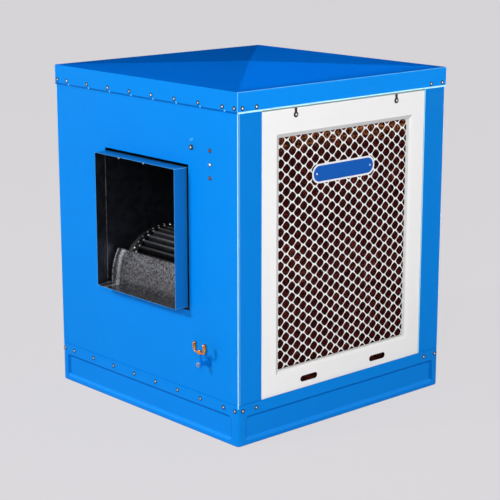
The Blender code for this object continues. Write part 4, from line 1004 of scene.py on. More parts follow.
@dataclass
class Bench:
    """Makes the pieces, hangs each on its body and dresses the CAD nodes that stay."""

    frame: dict
    made: int = 0

    def piece(
        self,
        name: str,
        shape: Surface | bpy.types.Mesh,
        finishes: Finish | Sequence[Finish],
        stands_for: Sequence[str] = (),
        body: Body = Body.CABINET,
        outward: bool = True,
        crisp: bool = True,
        bends: Finish | None = None,
        smooth_below: float = SMOOTH_BELOW,
    ) -> bpy.types.Object:
        """Make and shade one piece, hang it on its body and hide the CAD nodes that it replaces.

        Args:
            name: The piece's name.
            shape: A surface, or a mesh that is ready.
            finishes: One finish, or one for each number that a face can have.
            stands_for: The CAD nodes that it replaces.
            body: The body that it rides on.
            outward: Whether to turn the faces outwards, for a closed shell.
            crisp: Whether large faces keep their own normals beside small bends.
            bends: The finish of faces that stand askew to every axis, which paints a highlight on them.
            smooth_below: The angle between faces below which their edge is shaded smooth.

        Returns:
            The piece's object.
        """
        layers = [finishes] if isinstance(finishes, Finish) else list(finishes)
        if bends:
            askew = np.abs(shape.normals()).max(axis=1) < ASKEW
            shape = replace(shape, tints=np.where(askew, len(layers), shape.tints))
            layers.append(bends)
        mesh = shape.mesh(name, outward) if isinstance(shape, Surface) else shape
        for finish in layers:
            mesh.materials.append(finish.material())
        mesh.shade_smooth()
        mesh.set_sharp_from_angle(angle=smooth_below)
        piece = show(name, mesh)
        if crisp:
            piece.modifiers.new("Crisp", "WEIGHTED_NORMAL").keep_sharp = True
        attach(piece, body.value)
        if stands_for:
            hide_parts(*stands_for)
        self.made += 1
        LOG.info("%s: %d faces", name, len(mesh.polygons))
        return piece

    def dress(self, nodes: Sequence[str], finish: Finish) -> None:
        """Give CAD nodes that stay in view a finish.

        Args:
            nodes: The nodes' names.
            finish: The finish.
        """
        for node in nodes:
            mesh = self.frame["nodes"][node].data
            mesh.materials.clear()
            mesh.materials.append(finish.material())
            LOG.info("%s: dressed in %s", node, finish.name)


def thicken(piece: bpy.types.Object, thickness: float) -> None:
    """Give an open skin its wall, inwards from the face, ahead of the other modifiers.

    Args:
        piece: The skin.
        thickness: The wall's thickness.
    """
    wall = piece.modifiers.new("Sheet", "SOLIDIFY")
    wall.thickness = thickness
    wall.offset = -1.0
    piece.modifiers.move(len(piece.modifiers) - 1, 0)


def levels(node: str, axis: Axis) -> Pair:
    """Where a CAD node's box starts and ends along an axis."""
    low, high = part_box(node)
    return low[axis], high[axis]


@dataclass
class Assembly:
    """A sub-assembly that makes its pieces at a bench."""

    bench: Bench


# Cabinet shell


@dataclass
class SquareWalk:
    """Rounded squares walked once round: columns are shares along a side, then round a corner."""

    along: Array
    corner_steps: int = 5

    def loops(self, half: Array, radius: Array) -> Array:
        """Loops of the given half widths and corner radii.

        A side point is (half, share * (half - radius)); a corner point lies on the circle about the
        corner's centre; both are then turned by each quarter.

        Args:
            half: The half width of each row.
            radius: The corner radius of each row.

        Returns:
            Rows, columns and two coordinates.
        """
        flat = (half - radius)[:, None]
        angle = np.linspace(0.0, math.pi / 2, self.corner_steps + 1)[1:-1]
        side = np.stack([np.repeat(half[:, None], len(self.along), axis=1), flat * self.along], axis=2)
        bend_u = flat + radius[:, None] * np.cos(angle)
        bend_v = flat + radius[:, None] * np.sin(angle)
        return self._round(np.concatenate([side, np.stack([bend_u, bend_v], axis=2)], axis=1))

    def outward(self) -> Array:
        """The outward direction of each column, with none at the corners.

        Returns:
            Two coordinates for each column.
        """
        quarter = np.zeros((len(self.along) + self.corner_steps - 1, 2))
        quarter[: len(self.along), 0] = 1.0
        return self._round(quarter)

    @staticmethod
    def _round(quarter: Array) -> Array:
        """The columns of one quarter, carried on round the other three."""
        turns = [turn_about(Axis.Z, step * math.pi / 2)[:2, :2] for step in range(4)]
        return np.concatenate([quarter @ turn.T for turn in turns], axis=-2)

    def shares(self) -> Array:
        """The share along its side of each column, past 1 at the corners."""
        quarter = np.concatenate([self.along, np.full(self.corner_steps - 1, 2.0)])
        return np.tile(quarter, 4)


@dataclass
class Roof(Assembly):
    """The cross-broken top sheet, its eave flange and the drip lip under the flange."""

    corner: float = 0.0035
    lip_bend: float = 0.0012
    eave_bend: float = 0.0028
    lip_gap: float = 0.0008
    hem: float = 0.0055
    highlight_line: float = 0.0022
    corner_highlight_line: float = 0.001
    apex: float = 1.085
    crease: float = math.radians(0.2)

    def build(self) -> None:
        """Carry the eave's profile round the square and draw it in to the apex."""
        half = HALF - SKIN
        foot, hem = (half, EAVE_FOOT), (half, EAVE_FOOT + self.hem)
        path = [(WALL + self.lip_gap, EAVE_FOOT), foot, hem, (half, EAVE_TOP), (0.0, self.apex)]
        outer = rounded(path, [self.lip_bend, 0.0, self.eave_bend], steps=5)
        walk = SquareWalk(np.array([-1.0, 1.0]), 6)
        skins = []
        for line in (outer, offset(outer, SHEET)):
            width = np.maximum(line[:, 0], 0.0)
            plane = walk.loops(width, self.corner * np.minimum(width / half, 1.0))
            skins.append(lift(plane, line[:, 1:], Axis.Z))
        surface = Surface.shell(*skins, loop=True)
        surface.tints = self._tints(surface.middles())
        # The top takes a painted shade, thin lines and the side hems a painted highlight, and the front
        # and back hems a painted shade.
        finishes = [BLUE, SHADED_ROOF_BLUE, LIGHT_EDGE, PALE_HIGHLIGHT, DARK_EDGE]
        self.bench.piece("roof_sheet", surface, finishes, ["roof"], smooth_below=self.crease)

    def _tints(self, spot: Array) -> Array:
        """The finish number of each face: the top in painted shade, lines of painted highlight, and the
        hem under the eave with a painted highlight on the sides and a painted shade at front and back.

        Args:
            spot: The middle of each face.

        Returns:
            The numbers.
        """
        top, line, side_hem_highlight, front_hem_shade = 1, 2, 3, 4
        level = spot[:, 2]
        across, along = np.abs(spot[:, :2]).T
        sides, hem = across > along, level < EAVE_FOOT + self.hem
        tints = np.where(level > EAVE_TOP, top, 0)
        tints[sides & (np.abs(level - EAVE_TOP + self.highlight_line / 2) < self.highlight_line / 2)] = line
        tints[(np.abs(across - along) < self.corner_highlight_line) & (level < EAVE_TOP)] = line
        tints[hem] = np.where(sides, side_hem_highlight, front_hem_shade)[hem]
        return tints


@dataclass
class BasePan(Assembly):
    """The water pan: floor with its drain hole, skirt with a pressed recess each side, and a rim."""

    corner: float = 0.014
    foot_bend: float = 0.005
    rim_bend: float = 0.0025
    rim_gap: float = 0.0008
    drain_radius: float = 0.0155
    recess_side: float = 0.420
    recess_foot: float = 0.0145
    recess_head: float = 0.0945
    recess_depth: float = 0.0062
    recess_slope: float = 0.0095
    recess_corner: float = 0.013
    ledge_top: float = 0.120
    ledge_width: float = 0.085
    ledge_drop: float = 0.020
    ledge_bend: float = 0.002
    floor_turn: float = 0.03

    def build(self) -> None:
        """Carry the pan's profile round the square, press the recesses and close the floor."""
        half = HALF - SKIN
        path = [(half - self.floor_turn, 0.0), (half, 0.0), (half, BASE_HEIGHT)]
        path += [(WALL + self.rim_gap, BASE_HEIGHT)]
        line = rounded(path, [self.foot_bend, self.rim_bend], steps=5)
        low, high = line[line[:, 1] < BASE_HEIGHT / 2], line[line[:, 1] >= BASE_HEIGHT / 2]
        bands = ((0.0085, 0.030, 12), (0.036, 0.074, 5), (0.079, 0.101, 12), (0.112, 0.112, 1))
        rise = np.concatenate([np.linspace(*band) for band in bands])
        outer = np.vstack([low, np.stack([np.full(len(rise), half), rise], axis=1), high])
        flat = half - self.corner
        edge = np.linspace(self.recess_side - 0.024, self.recess_side + 0.002, 12) / flat
        along = np.concatenate([[-1.0], -edge[::-1], np.linspace(-0.85, 0.85, 9), edge, [1.0]])
        walk = SquareWalk(along, 6)
        skins = [self._skin(walk, outer, 0.0), self._skin(walk, offset(outer, SHEET), SHEET)]
        pan = Surface.shell(*skins, loop=True)
        pan.tints = self._shades(pan)
        # The recess slopes take painted light and painted shade.
        self.bench.piece("base_pan", pan, [BLUE, LIT_RECESS_FOOT, SHADED_RECESS_EDGE], ["base_tray"])
        self._ledge()

    def _shades(self, pan: Surface) -> Array:
        """The finish numbers: 1 where a recess slopes up from its foot, a painted light; 2 on its other
        slopes, a painted shade.

        Args:
            pan: The pan's surface.

        Returns:
            One number for each face.
        """
        normal, middle = pan.normals(), pan.middles()
        low, high = self.recess_foot - self.recess_slope, self.recess_head + self.recess_slope
        inside = (middle[:, 2] > low) & (middle[:, 2] < high)
        edge = np.abs(middle[:, :2]).min(axis=1) > self.recess_side + self.recess_slope
        slope = inside & ~edge & (np.abs(normal).max(axis=1) < 0.97)
        return np.where(slope, np.where(normal[:, 2] > 0.2, 1, 2), 0)

    def _ledge(self) -> None:
        """The angle ring that the walls stand on, bent from one sheet inside the pan."""
        half, top = HALF - SKIN - SHEET - FIT, self.ledge_top
        path = [(half, top - self.ledge_drop), (half, top), (half - self.ledge_width, top)]
        line = rounded(path, self.ledge_bend, steps=4)
        walk = SquareWalk(np.array([-1.0, 1.0]), 5)
        skins = []
        for edge in (line, offset(line, SHEET)):
            plane = walk.loops(edge[:, 0], np.full(len(edge), self.corner - 2 * SHEET))
            skins.append(lift(plane, edge[:, 1:], Axis.Z))
        self.bench.piece("ledge_ring", Surface.shell(*skins, loop=True), ZINC, ["pan_ledge"])

    def _skin(self, walk: SquareWalk, line: Array, floor: float) -> Array:
        """One skin of the pan, from its drain hole out and up.

        Args:
            walk: The square that it is carried round.
            line: Its profile as (half, height).
            floor: The height of its floor.

        Returns:
            Rows, columns and three coordinates.
        """
        plane = walk.loops(line[:, 0], np.maximum(self.corner - (HALF - SKIN - line[:, 0]), 0.002))
        height = np.repeat(line[:, 1:], plane.shape[1], axis=1)
        across = walk.shares()[None, :] * (HALF - SKIN - self.corner)
        sunk = self.recess_depth * smooth(-self._edge_distance(across, height) / self.recess_slope)
        plane = plane - sunk[:, :, None] * walk.outward()[None]
        ray = plane[0] - np.array(DRAIN)
        hole = np.array(DRAIN) + self.drain_radius * ray / np.linalg.norm(ray, axis=1)[:, None]
        plane = np.concatenate([hole[None], plane])
        height = np.concatenate([np.full((1, plane.shape[1]), floor), height])
        return lift(plane, height, Axis.Z)

    def _edge_distance(self, across: Array, height: Array) -> Array:
        """Distance outside the recess's rounded rectangle, below zero inside it.

        Args:
            across: Where each point stands along its side.
            height: The height of each point.

        Returns:
            The distances.
        """
        middle = (self.recess_foot + self.recess_head) / 2
        tall = (self.recess_head - self.recess_foot) / 2
        over_u = np.abs(across) - (self.recess_side - self.recess_corner)
        over_v = np.abs(height - middle) - (tall - self.recess_corner)
        outside = np.hypot(np.maximum(over_u, 0.0), np.maximum(over_v, 0.0))
        return outside + np.minimum(np.maximum(over_u, over_v), 0.0) - self.recess_corner


@dataclass
class Walls(Assembly):
    """The front wall with its cut-out, and the four folded corner posts."""

    bend: float = 0.0045
    wrap: float = 0.0062
    seam: float = 0.0008
    cutout_gap: float = 0.009
    post_return: float = 0.060
    post_lap: float = 0.062
    jamb_bend: float = 0.003
    lap_bend: float = 0.001

    def build(self) -> None:
        """Build the wall and its posts."""
        self._front()
        self._posts()

    def _front(self) -> None:
        """Bend the wall's plan line round both corners, raise it, and leave out the cut-out."""
        gap = self.cutout_gap
        low = (OUTLET_LOW[0] - gap, OUTLET_LOW[1] - gap)
        high = (OUTLET_HIGH[0] + gap, OUTLET_HIGH[1] + gap)
        corners = [(-WALL, self.wrap - WALL), (-WALL, -WALL), (WALL, -WALL), (WALL, self.wrap - WALL)]
        line = rounded(corners, self.bend, steps=6)
        inside = np.array([(low[0], -WALL), (high[0], -WALL)])
        middle = len(line) // 2
        line = np.vstack([line[:middle], inside, line[middle:]])
        rise = np.array([WALL_FOOT, low[1], high[1], WALL_HEAD])
        plane = np.repeat(line[None], len(rise), axis=0)
        surface = Surface.grid(lift(plane, rise[:, None], Axis.Z))
        spot = surface.middles()[:, [0, 2]]
        hole = ((spot > low) & (spot < high)).all(axis=1)
        # The wall's corner bends get a painted pale highlight.
        wall = self.bench.piece(
            "front_wall", surface.kept(~hole), BLUE, ["outlet_panel"], outward=False, bends=PALE_HIGHLIGHT
        )
        thicken(wall, SHEET)

    def _posts(self) -> None:
        """Fold each post from a plan line; the left ones mirror the right ones."""
        inset, lap, start = WALL - self.post_return, PANEL_BACK + FIT, self.wrap - WALL + self.seam
        front = [(WALL - self.post_lap, lap), (WALL - self.bend, lap), (WALL, start)]
        front += [(WALL, -JAMB), (inset, -JAMB)]
        rear = [(inset, JAMB), (WALL, JAMB), (WALL, WALL), (JAMB, WALL), (JAMB, inset)]
        lines = {
            "front": rounded(front, [self.lap_bend, self.lap_bend, self.jamb_bend], steps=5),
            "rear": rounded(rear, [self.jamb_bend, self.bend, self.jamb_bend], steps=5),
        }
        mirror = np.array([-1.0, 1.0])
        for name, line in lines.items():
            for side, path in (("right", line), ("left", line[::-1] * mirror)):
                post = bent_sheet(path, SHEET, Axis.Z, (WALL_FOOT, WALL_HEAD))
                node = f"post_{name}_{side}"
                # The post's bends get a painted pale highlight.
                self.bench.piece(f"corner_{node}", post, BLUE, [node], bends=PALE_HIGHLIGHT)


@dataclass
class OutletSleeve(Assembly):
    """The collar that stands out of the front wall: blue outside, zinc inside that is darkened as a
    painted shade.
    """

    corner: float = 0.003
    rim: float = 0.0004
    zinc_depth: float = 0.0008

    def build(self) -> None:
        """Carry the sheet's section round the outlet's rectangle."""
        section = [(0.0, PANEL_BACK), (0.0, COLLAR_FRONT), (SHEET, COLLAR_FRONT), (SHEET, PANEL_BACK)]
        line = rounded(section, self.rim, steps=3, closed=True)
        inset = line[:, :1]
        low, high = np.array(OUTLET_LOW), np.array(OUTLET_HIGH)
        plane = rectangle_loop(low + inset, high - inset, self.corner - inset[:, 0], steps=5)
        surface = Surface.grid(lift(plane, line[:, 1:], Axis.Y), rows=True, columns=True)
        spot = surface.middles()[:, [0, 2]]
        # Faces deeper than the rim take the darkened zinc, a painted shade.
        surface.tints = (np.minimum(spot - low, high - spot).min(axis=1) > self.zinc_depth).astype(int)
        finishes = [SLEEVE_BLUE, SHADED_ZINC]
        # The sleeve's bends get a painted highlight.
        self.bench.piece("outlet_sleeve", surface, finishes, ["outlet_collar"], bends=LIGHT_EDGE)


# Blower


def on_axis(radius: Array | float, angle: Array | float) -> Array:
    """Points (y, z) at a radius from the blower's axis and an angle above its forward direction."""
    return np.stack([AXIS_Y - radius * np.cos(angle), AXIS_Z + radius * np.sin(angle)], axis=-1)


@dataclass
class Scroll(Assembly):
    """The blower's housing: the spiral wrap, the cutoff plate, and the rings that lead air in."""

    start: float = 0.184
    head: float = OUTLET_HIGH[1] - SHEET - FIT
    sill: float = OUTLET_LOW[1] + SHEET + FIT
    mouth: float = -0.470
    lap: float = math.radians(14)
    cutoff: float = math.radians(31)
    cutoff_lip: float = 0.053
    cutoff_gap: float = 0.008
    curl: float = 0.0025
    roll: float = 0.010
    inlet: float = 0.140
    throat: float = 0.120
    flange: float = 0.014
    depth: float = 0.024
    seam: float = -0.4555
    seam_half: float = 0.0015
    seam_proud: float = 0.0016
    seam_rise: float = 0.015
    seam_drop: float = 0.012
    seam_rim: float = 0.0005

    def build(self) -> None:
        """Build the wrap, the cutoff, both rings and the mouth's seams, and dress the side plates."""
        left = OUTLET_LOW[0] + 2 * (SHEET + FIT)
        right = OUTLET_HIGH[0] - 2 * (SHEET + FIT)
        wrap = bent_sheet(self._spiral(), SHEET, Axis.X, (left, right))
        # The wrap takes zinc darkened as a painted shade.
        self.bench.piece("spiral_wrap", wrap, SHADED_ZINC, ["scroll_wrap"], crisp=False)
        plate = self._cutoff_sheet(left + self.cutoff_gap, right)
        self.bench.piece("cutoff_sheet", plate, FINE_ZINC, ["cutoff_plate"], crisp=False)
        faces = {"left": (OUTLET_LOW[0] + SHEET + FIT, -1.0), "right": (OUTLET_HIGH[0] - SHEET - FIT, 1.0)}
        for side, (face, way) in faces.items():
            self.bench.piece(f"air_ring_{side}", self._ring(face, way), ZINC, [f"inlet_ring_{side}"])
        near, foot = self.seam - self.seam_half, self.sill + self.seam_rise
        far, top = self.seam + self.seam_half, self.head - self.seam_drop
        seams = Surface.joined(
            box_surface((at, near, foot), (at + self.seam_proud, far, top), self.seam_rim)
            for at in (left, right - self.seam_proud)
        )
        self.bench.piece("mouth_seams", seams, ZINC)
        # The side plates' zinc is darkened as a painted shade.
        self.bench.dress(["scroll_side_left", "scroll_side_right"], SHADED_ZINC)

    def _first_angle(self) -> float:
        """How far below the axis's level the cutoff's arc starts, as an angle."""
        return math.asin((AXIS_Z - self.sill) / (self.start + FIT))

    def _spiral(self) -> Array:
        """The wrap's line: a logarithmic spiral that ends level at the head, then runs to the mouth.

        The radius is the start times e to the growth times the angle. Its tangent leans by the growth's
        arctangent, so the sweep that ends level is found by trying again with each new lean.

        Returns:
            Points (y, z) of the line.
        """
        first = self._first_angle()
        lean = 0.0
        for _ in range(30):
            sweep = 1.5 * math.pi + lean - first
            growth = math.log((self.head - AXIS_Z) / math.cos(lean) / self.start) / sweep
            lean = math.atan(growth)
        angle = np.linspace(0.0, sweep, 96)
        lap = on_axis(self.start, np.linspace(self.lap, 0.0, 6)[:-1])
        line = on_axis(self.start * np.exp(growth * angle), -first - angle)
        return np.vstack([lap, line, [[self.mouth, self.head]]])

    def _cutoff(self) -> Array:
        """The cutoff's line: a lip on the collar, an arc round the wheel, and a rolled edge.

        Returns:
            Points (y, z) of the line.
        """
        radius = self.start + FIT
        arc = on_axis(radius, np.linspace(-self._first_angle(), self.cutoff, 24))
        end, tangent = arc[-1], np.array([math.sin(self.cutoff), math.cos(self.cutoff)])
        left = np.array([-tangent[1], tangent[0]])
        roll = np.linspace(0.0, math.radians(170), 9)[1:, None]
        curl = end + self.curl * (left + tangent * np.sin(roll) - left * np.cos(roll))
        lip = np.array([[arc[0, 0] - self.cutoff_lip, self.sill]])
        return np.vstack([lip, arc, curl])

    def _cutoff_sheet(self, left: float, right: float) -> Surface:
        """The cutoff drawn out along X, its left edge rolled inwards on a quarter ellipse.

        Args:
            left: Where the sheet starts.
            right: Where it ends.

        Returns:
            The closed surface.
        """
        swing = np.linspace(0.0, math.pi / 2, 6)
        along = np.append(left + self.roll * (1 - np.cos(swing)), right)
        sunk = np.append(0.5 * self.roll * (1 - np.sin(swing)), 0.0)
        line = self._cutoff()
        skins = [
            np.stack([lift(offset(line, inset + wall), at, Axis.X) for at, inset in zip(along, sunk)])
            for wall in (0.0, SHEET)
        ]
        return Surface.shell(*skins)

    def _ring(self, face: float, way: float) -> Surface:
        """A spun bell mouth: a flat flange that rolls into the throat on a quarter ellipse.

        Args:
            face: Where the side plate's outer face stands.
            way: 1 for a ring whose flange looks along +X, or -1.

        Returns:
            The closed surface.
        """
        swing = np.linspace(0.0, math.pi / 2, 10)
        bell_r = self.inlet - FIT - 2 * SHEET
        along = FIT + SHEET - (self.depth + FIT + SHEET) * np.sin(swing)
        radius = self.throat + (bell_r - self.throat) * np.cos(swing)
        outer = np.vstack([[(FIT + SHEET, self.inlet + self.flange)], np.stack([along, radius], axis=1)])
        inner = offset(outer, -SHEET)
        profile = np.vstack([outer, inner[::-1]])
        profile[:, 0] = face + way * profile[:, 0]
        return turned(profile, Axis.X, (AXIS_Y, AXIS_Z), 64, 0.0002)


@dataclass
class BlowerWheel(Assembly):
    """The squirrel-cage wheel: forward-curved blades between two rolled end rings and a centre disc."""

    left: float = -0.1345
    right: float = 0.1715
    radius: float = 0.160
    inside: float = 0.137
    blades: int = 42
    blade_sheet: float = 0.0013
    disc: float = 0.003
    bore: float = 0.0265
    tab: float = 0.0036
    flange: float = 0.024
    stud_inset: float = 0.0036
    tab_rise: float = 0.0026
    ring_sheet: float = 0.0014
    lip_sheet: float = 0.0012
    disc_inset: float = 0.011
    blade_gap: float = 0.003
    blade_lean: float = 0.115
    blade_curve: float = 0.10
    edge_width: float = 0.0055

    def build(self) -> None:
        """Build one blade and its tabs, repeat them round the axis, and add the rings and the disc."""
        angle = np.arange(self.blades) * 2 * math.pi / self.blades
        turns = turn_about(Axis.X, angle)
        still = np.zeros((self.blades, 3))
        wheel = self._blade().copies(turns, still) + self._tabs().copies(turns, still)
        rim, flange, wall = self.radius - self.tab_rise, self.flange, self.ring_sheet
        ring = [(0.0, self.inside), (0.0, rim), (flange, rim), (flange, rim - self.lip_sheet)]
        ring += [(wall, rim - wall), (wall, self.inside)]
        for end, way in ((self.left, 1.0), (self.right, -1.0)):
            wheel = wheel + turned(raised(end, ring, way), Axis.X, sides=84, soften=0.0004)
        half, edge = self.disc / 2, rim - self.disc_inset
        disc = [(-half, self.bore), (-half, edge), (half, edge), (half, self.bore)]
        middle = (self.left + self.right) / 2
        wheel = wheel + turned(raised(middle, disc), Axis.X, sides=84, soften=0.0003)
        wheel = wheel.placed(None, (0.0, AXIS_Y, AXIS_Z))
        # The wheel's sheet takes a painted shade and its blades' outer edges a painted highlight.
        finishes = [BLADE_ZINC, BRIGHT_STEEL, BLADE_HIGHLIGHT]
        self.bench.piece("squirrel_cage", wheel, finishes, ["blower_wheel"], Body.BLOWER)

    def _blade(self) -> Surface:
        """One blade: an arc from the inner to the outer radius that leans forward as it goes out.

        Returns:
            The blade about the X axis, its outer edge with finish number 2, a painted highlight.
        """
        share = np.linspace(0.0, 1.0, 7)
        radius = self.inside + (self.radius - self.blade_gap - self.inside) * share
        swing = self.blade_lean * (share - 0.5) + self.blade_curve * (share - 0.5) ** 2
        path = np.stack([radius * np.sin(swing), radius * np.cos(swing)], axis=1)
        ends = (self.left + self.lip_sheet, self.right - self.lip_sheet)
        blade = bent_sheet(path, self.blade_sheet, Axis.X, ends)
        outside = np.hypot(*blade.middles()[:, 1:].T) > self.radius - self.edge_width
        blade.tints = np.where(outside, 2, 0)
        return blade

    def _tabs(self) -> Surface:
        """The blade's riveted tabs: two studs on the rim of each end ring, half a blade apart.

        Returns:
            The four studs.
        """
        line = [(0.0, 0.0), (0.0, self.tab), (0.0016, 0.8 * self.tab), (0.0025, 0.0)]
        line = raised(self.radius - self.tab_rise - FIT, line)
        stud = turned(line, Axis.Z, sides=8, soften=0.0001, tint=1)
        next_row = stud.placed(turn_about(Axis.X, math.pi / self.blades))
        rows = {self.stud_inset: stud, self.flange - self.stud_inset: next_row}
        return Surface.joined(
            row.placed(None, (at, 0.0, 0.0))
            for inset, row in rows.items()
            for at in (self.left + inset, self.right - inset)
        )


@dataclass
class Drive(Assembly):
    """What turns the wheel: shaft, hub, bearings, pulleys, belt and motor."""

    fan_radius: float = 0.130
    motor_pulley: float = 0.045
    groove: float = 0.010
    belt_width: float = 0.010
    belt_thickness: float = 0.008
    motor_left: float = PULLEY_X + 0.011 + 0.040
    motor_length: float = 0.170
    motor_radius: float = 0.072
    shaft: float = 0.0125
    spindle: float = 0.008
    hub_at: float = 0.0185

    def build(self) -> None:
        """Build the turned pieces, the belt and the motor, and dress the brackets and the stand."""
        fan, seat = (AXIS_Y, AXIS_Z), (MOTOR_Y, MOTOR_Z)
        shaft = turned(rod(*levels("blower_shaft", Axis.X), self.shaft), Axis.X, fan, 40, 0.001)
        self.bench.piece("fan_shaft", shaft, STEEL, ["blower_shaft"], Body.BLOWER)
        self.bench.piece("hub_casting", self._hub(), STEEL, ["wheel_hub"], Body.BLOWER)
        big = self._pulley(self.fan_radius, self.shaft + FIT, 0.034, fan)
        self.bench.piece("fan_sheave", big, MOTOR_GREY, ["fan_pulley"], Body.BLOWER)
        small = self._pulley(self.motor_pulley, self.spindle + FIT, 0.032, seat)
        self.bench.piece("motor_sheave", small, MOTOR_GREY, ["motor_pulley"], Body.MOTOR)
        spindle = turned(rod(*levels("motor_shaft", Axis.X), self.spindle), Axis.X, seat, 32, 0.001)
        self.bench.piece("motor_spindle", spindle, STEEL, ["motor_shaft"], Body.MOTOR)
        for side in ("left", "right"):
            self._bearing(side)
        self._motor()
        self._belt()
        self.bench.dress(["bearing_bracket_left", "bearing_bracket_right", "motor_stand"], STEEL)
        self.bench.dress(["blower_rail_left", "blower_rail_right"], ZINC)

    def _hub(self) -> Surface:
        """The wheel's hub: a boss with a flange against the centre disc.

        Returns:
            The closed surface.
        """
        bore = self.shaft + FIT
        line = [(-0.030, bore), (-0.030, 0.026), (-0.0058, 0.026), (-0.0058, 0.050), (-0.0018, 0.050)]
        line += [(-0.0018, 0.026), (0.030, 0.026), (0.030, bore)]
        return turned(raised(self.hub_at, line), Axis.X, (AXIS_Y, AXIS_Z), 48, 0.0015)

    def _pulley(self, radius: float, bore: float, length: float, centre: Pair) -> Surface:
        """A pulley with one tapered groove, and a thin web where it is large.

        Args:
            radius: The rim's radius.
            bore: The radius of its bore.
            length: The length of its boss.
            centre: Where its axis stands, as (y, z).

        Returns:
            The closed surface.
        """
        half, rim, floor, boss, large = 0.011, radius - 0.016, radius - self.groove, 0.026, 0.05
        groove = [(-half, radius), (-0.0075, radius), (-0.0053, floor)]
        groove += [(-along, size) for along, size in reversed(groove)]
        left = [(-length / 2, bore), (-length / 2, boss)]
        left += [(-0.003, boss), (-0.003, rim), (-half, rim)] if rim > large else [(-half, boss)]
        right = [(-along, size) for along, size in reversed(left)]
        return turned(raised(PULLEY_X, left + groove + right), Axis.X, centre, 72, 0.0012)

    def _bearing(self, side: str) -> None:
        """A flanged bearing housing with a raised collar, on the CAD bearing's box.

        Args:
            side: The side that it stands on.
        """
        low, high = levels(f"bearing_{side}", Axis.X)
        outer, way = (low, 1.0) if side == "left" else (high, -1.0)
        bore, length = 0.0131, high - low
        line = [(0.0, bore), (0.0, 0.022), (0.001, 0.026), (0.003, 0.040), (0.008, 0.040), (0.008, 0.029)]
        line += [(length - 0.006, 0.029), (length, 0.024), (length, bore)]
        shape = turned(raised(outer, line, way), Axis.X, (AXIS_Y, AXIS_Z), 48, 0.001)
        self.bench.piece(f"housing_{side}", shape, MOTOR_GREY, [f"bearing_{side}"])

    def _motor(self) -> None:
        """The motor's can: domed end bells with a joint line, and shallow ribs between."""
        left, right = self.motor_left, self.motor_left + self.motor_length
        size, joint, dip, edge = self.motor_radius, 0.0025, 0.0014, 0.045
        bell = [(0.0, self.spindle + FIT), (0.0, 0.020), (0.004, 0.046), (0.020, size - 0.001)]
        bell += [(0.030, size - 0.001), (0.0305, size - joint), (0.032, size - joint), (0.0325, size)]
        groove = [(-0.004, size), (-0.0035, size - dip), (0.0035, size - dip), (0.004, size)]
        line = raised(left, bell)
        for rib in np.linspace(left + edge, right - edge, 7):
            line += raised(rib, groove)
        line += raised(right, bell[::-1], -1.0)
        shape = turned(line, Axis.X, (MOTOR_Y, MOTOR_Z), 64, 0.0005)
        self.bench.piece("motor_can", shape, MOTOR_GREY, ["motor_body"])

    def _belt(self) -> None:
        """A tapered belt carried round both grooves: two arcs joined by the pulleys' outer tangents."""
        big, small = np.array([AXIS_Y, AXIS_Z]), np.array([MOTOR_Y, MOTOR_Z])
        span = small - big
        heading = math.atan2(span[1], span[0])
        lean = math.acos((self.fan_radius - self.motor_pulley) / np.linalg.norm(span))
        arcs = (
            (big, self.fan_radius, np.linspace(heading + lean, heading - lean + 2 * math.pi, 60)),
            (small, self.motor_pulley, np.linspace(heading - lean, heading + lean, 30)),
        )
        half, thick, narrow, seat = self.belt_width / 2, self.belt_thickness, 0.8, 0.001
        corners = [(-half * narrow, 0.0), (half * narrow, 0.0), (half, thick), (-half, thick)]
        section = rounded(corners, 0.0008, 2, True)
        loops = []
        for centre, radius, swing in arcs:
            reach = (radius - self.groove + seat + section[:, 1])[:, None, None]
            loops.append(centre + reach * np.stack([np.cos(swing), np.sin(swing)], axis=1))
        points = lift(np.concatenate(loops, axis=1), PULLEY_X + section[:, :1], Axis.X)
        belt = Surface.grid(points, rows=True, columns=True)
        self.bench.piece("belt_loop", belt, RUBBER, ["drive_belt"])


# Water


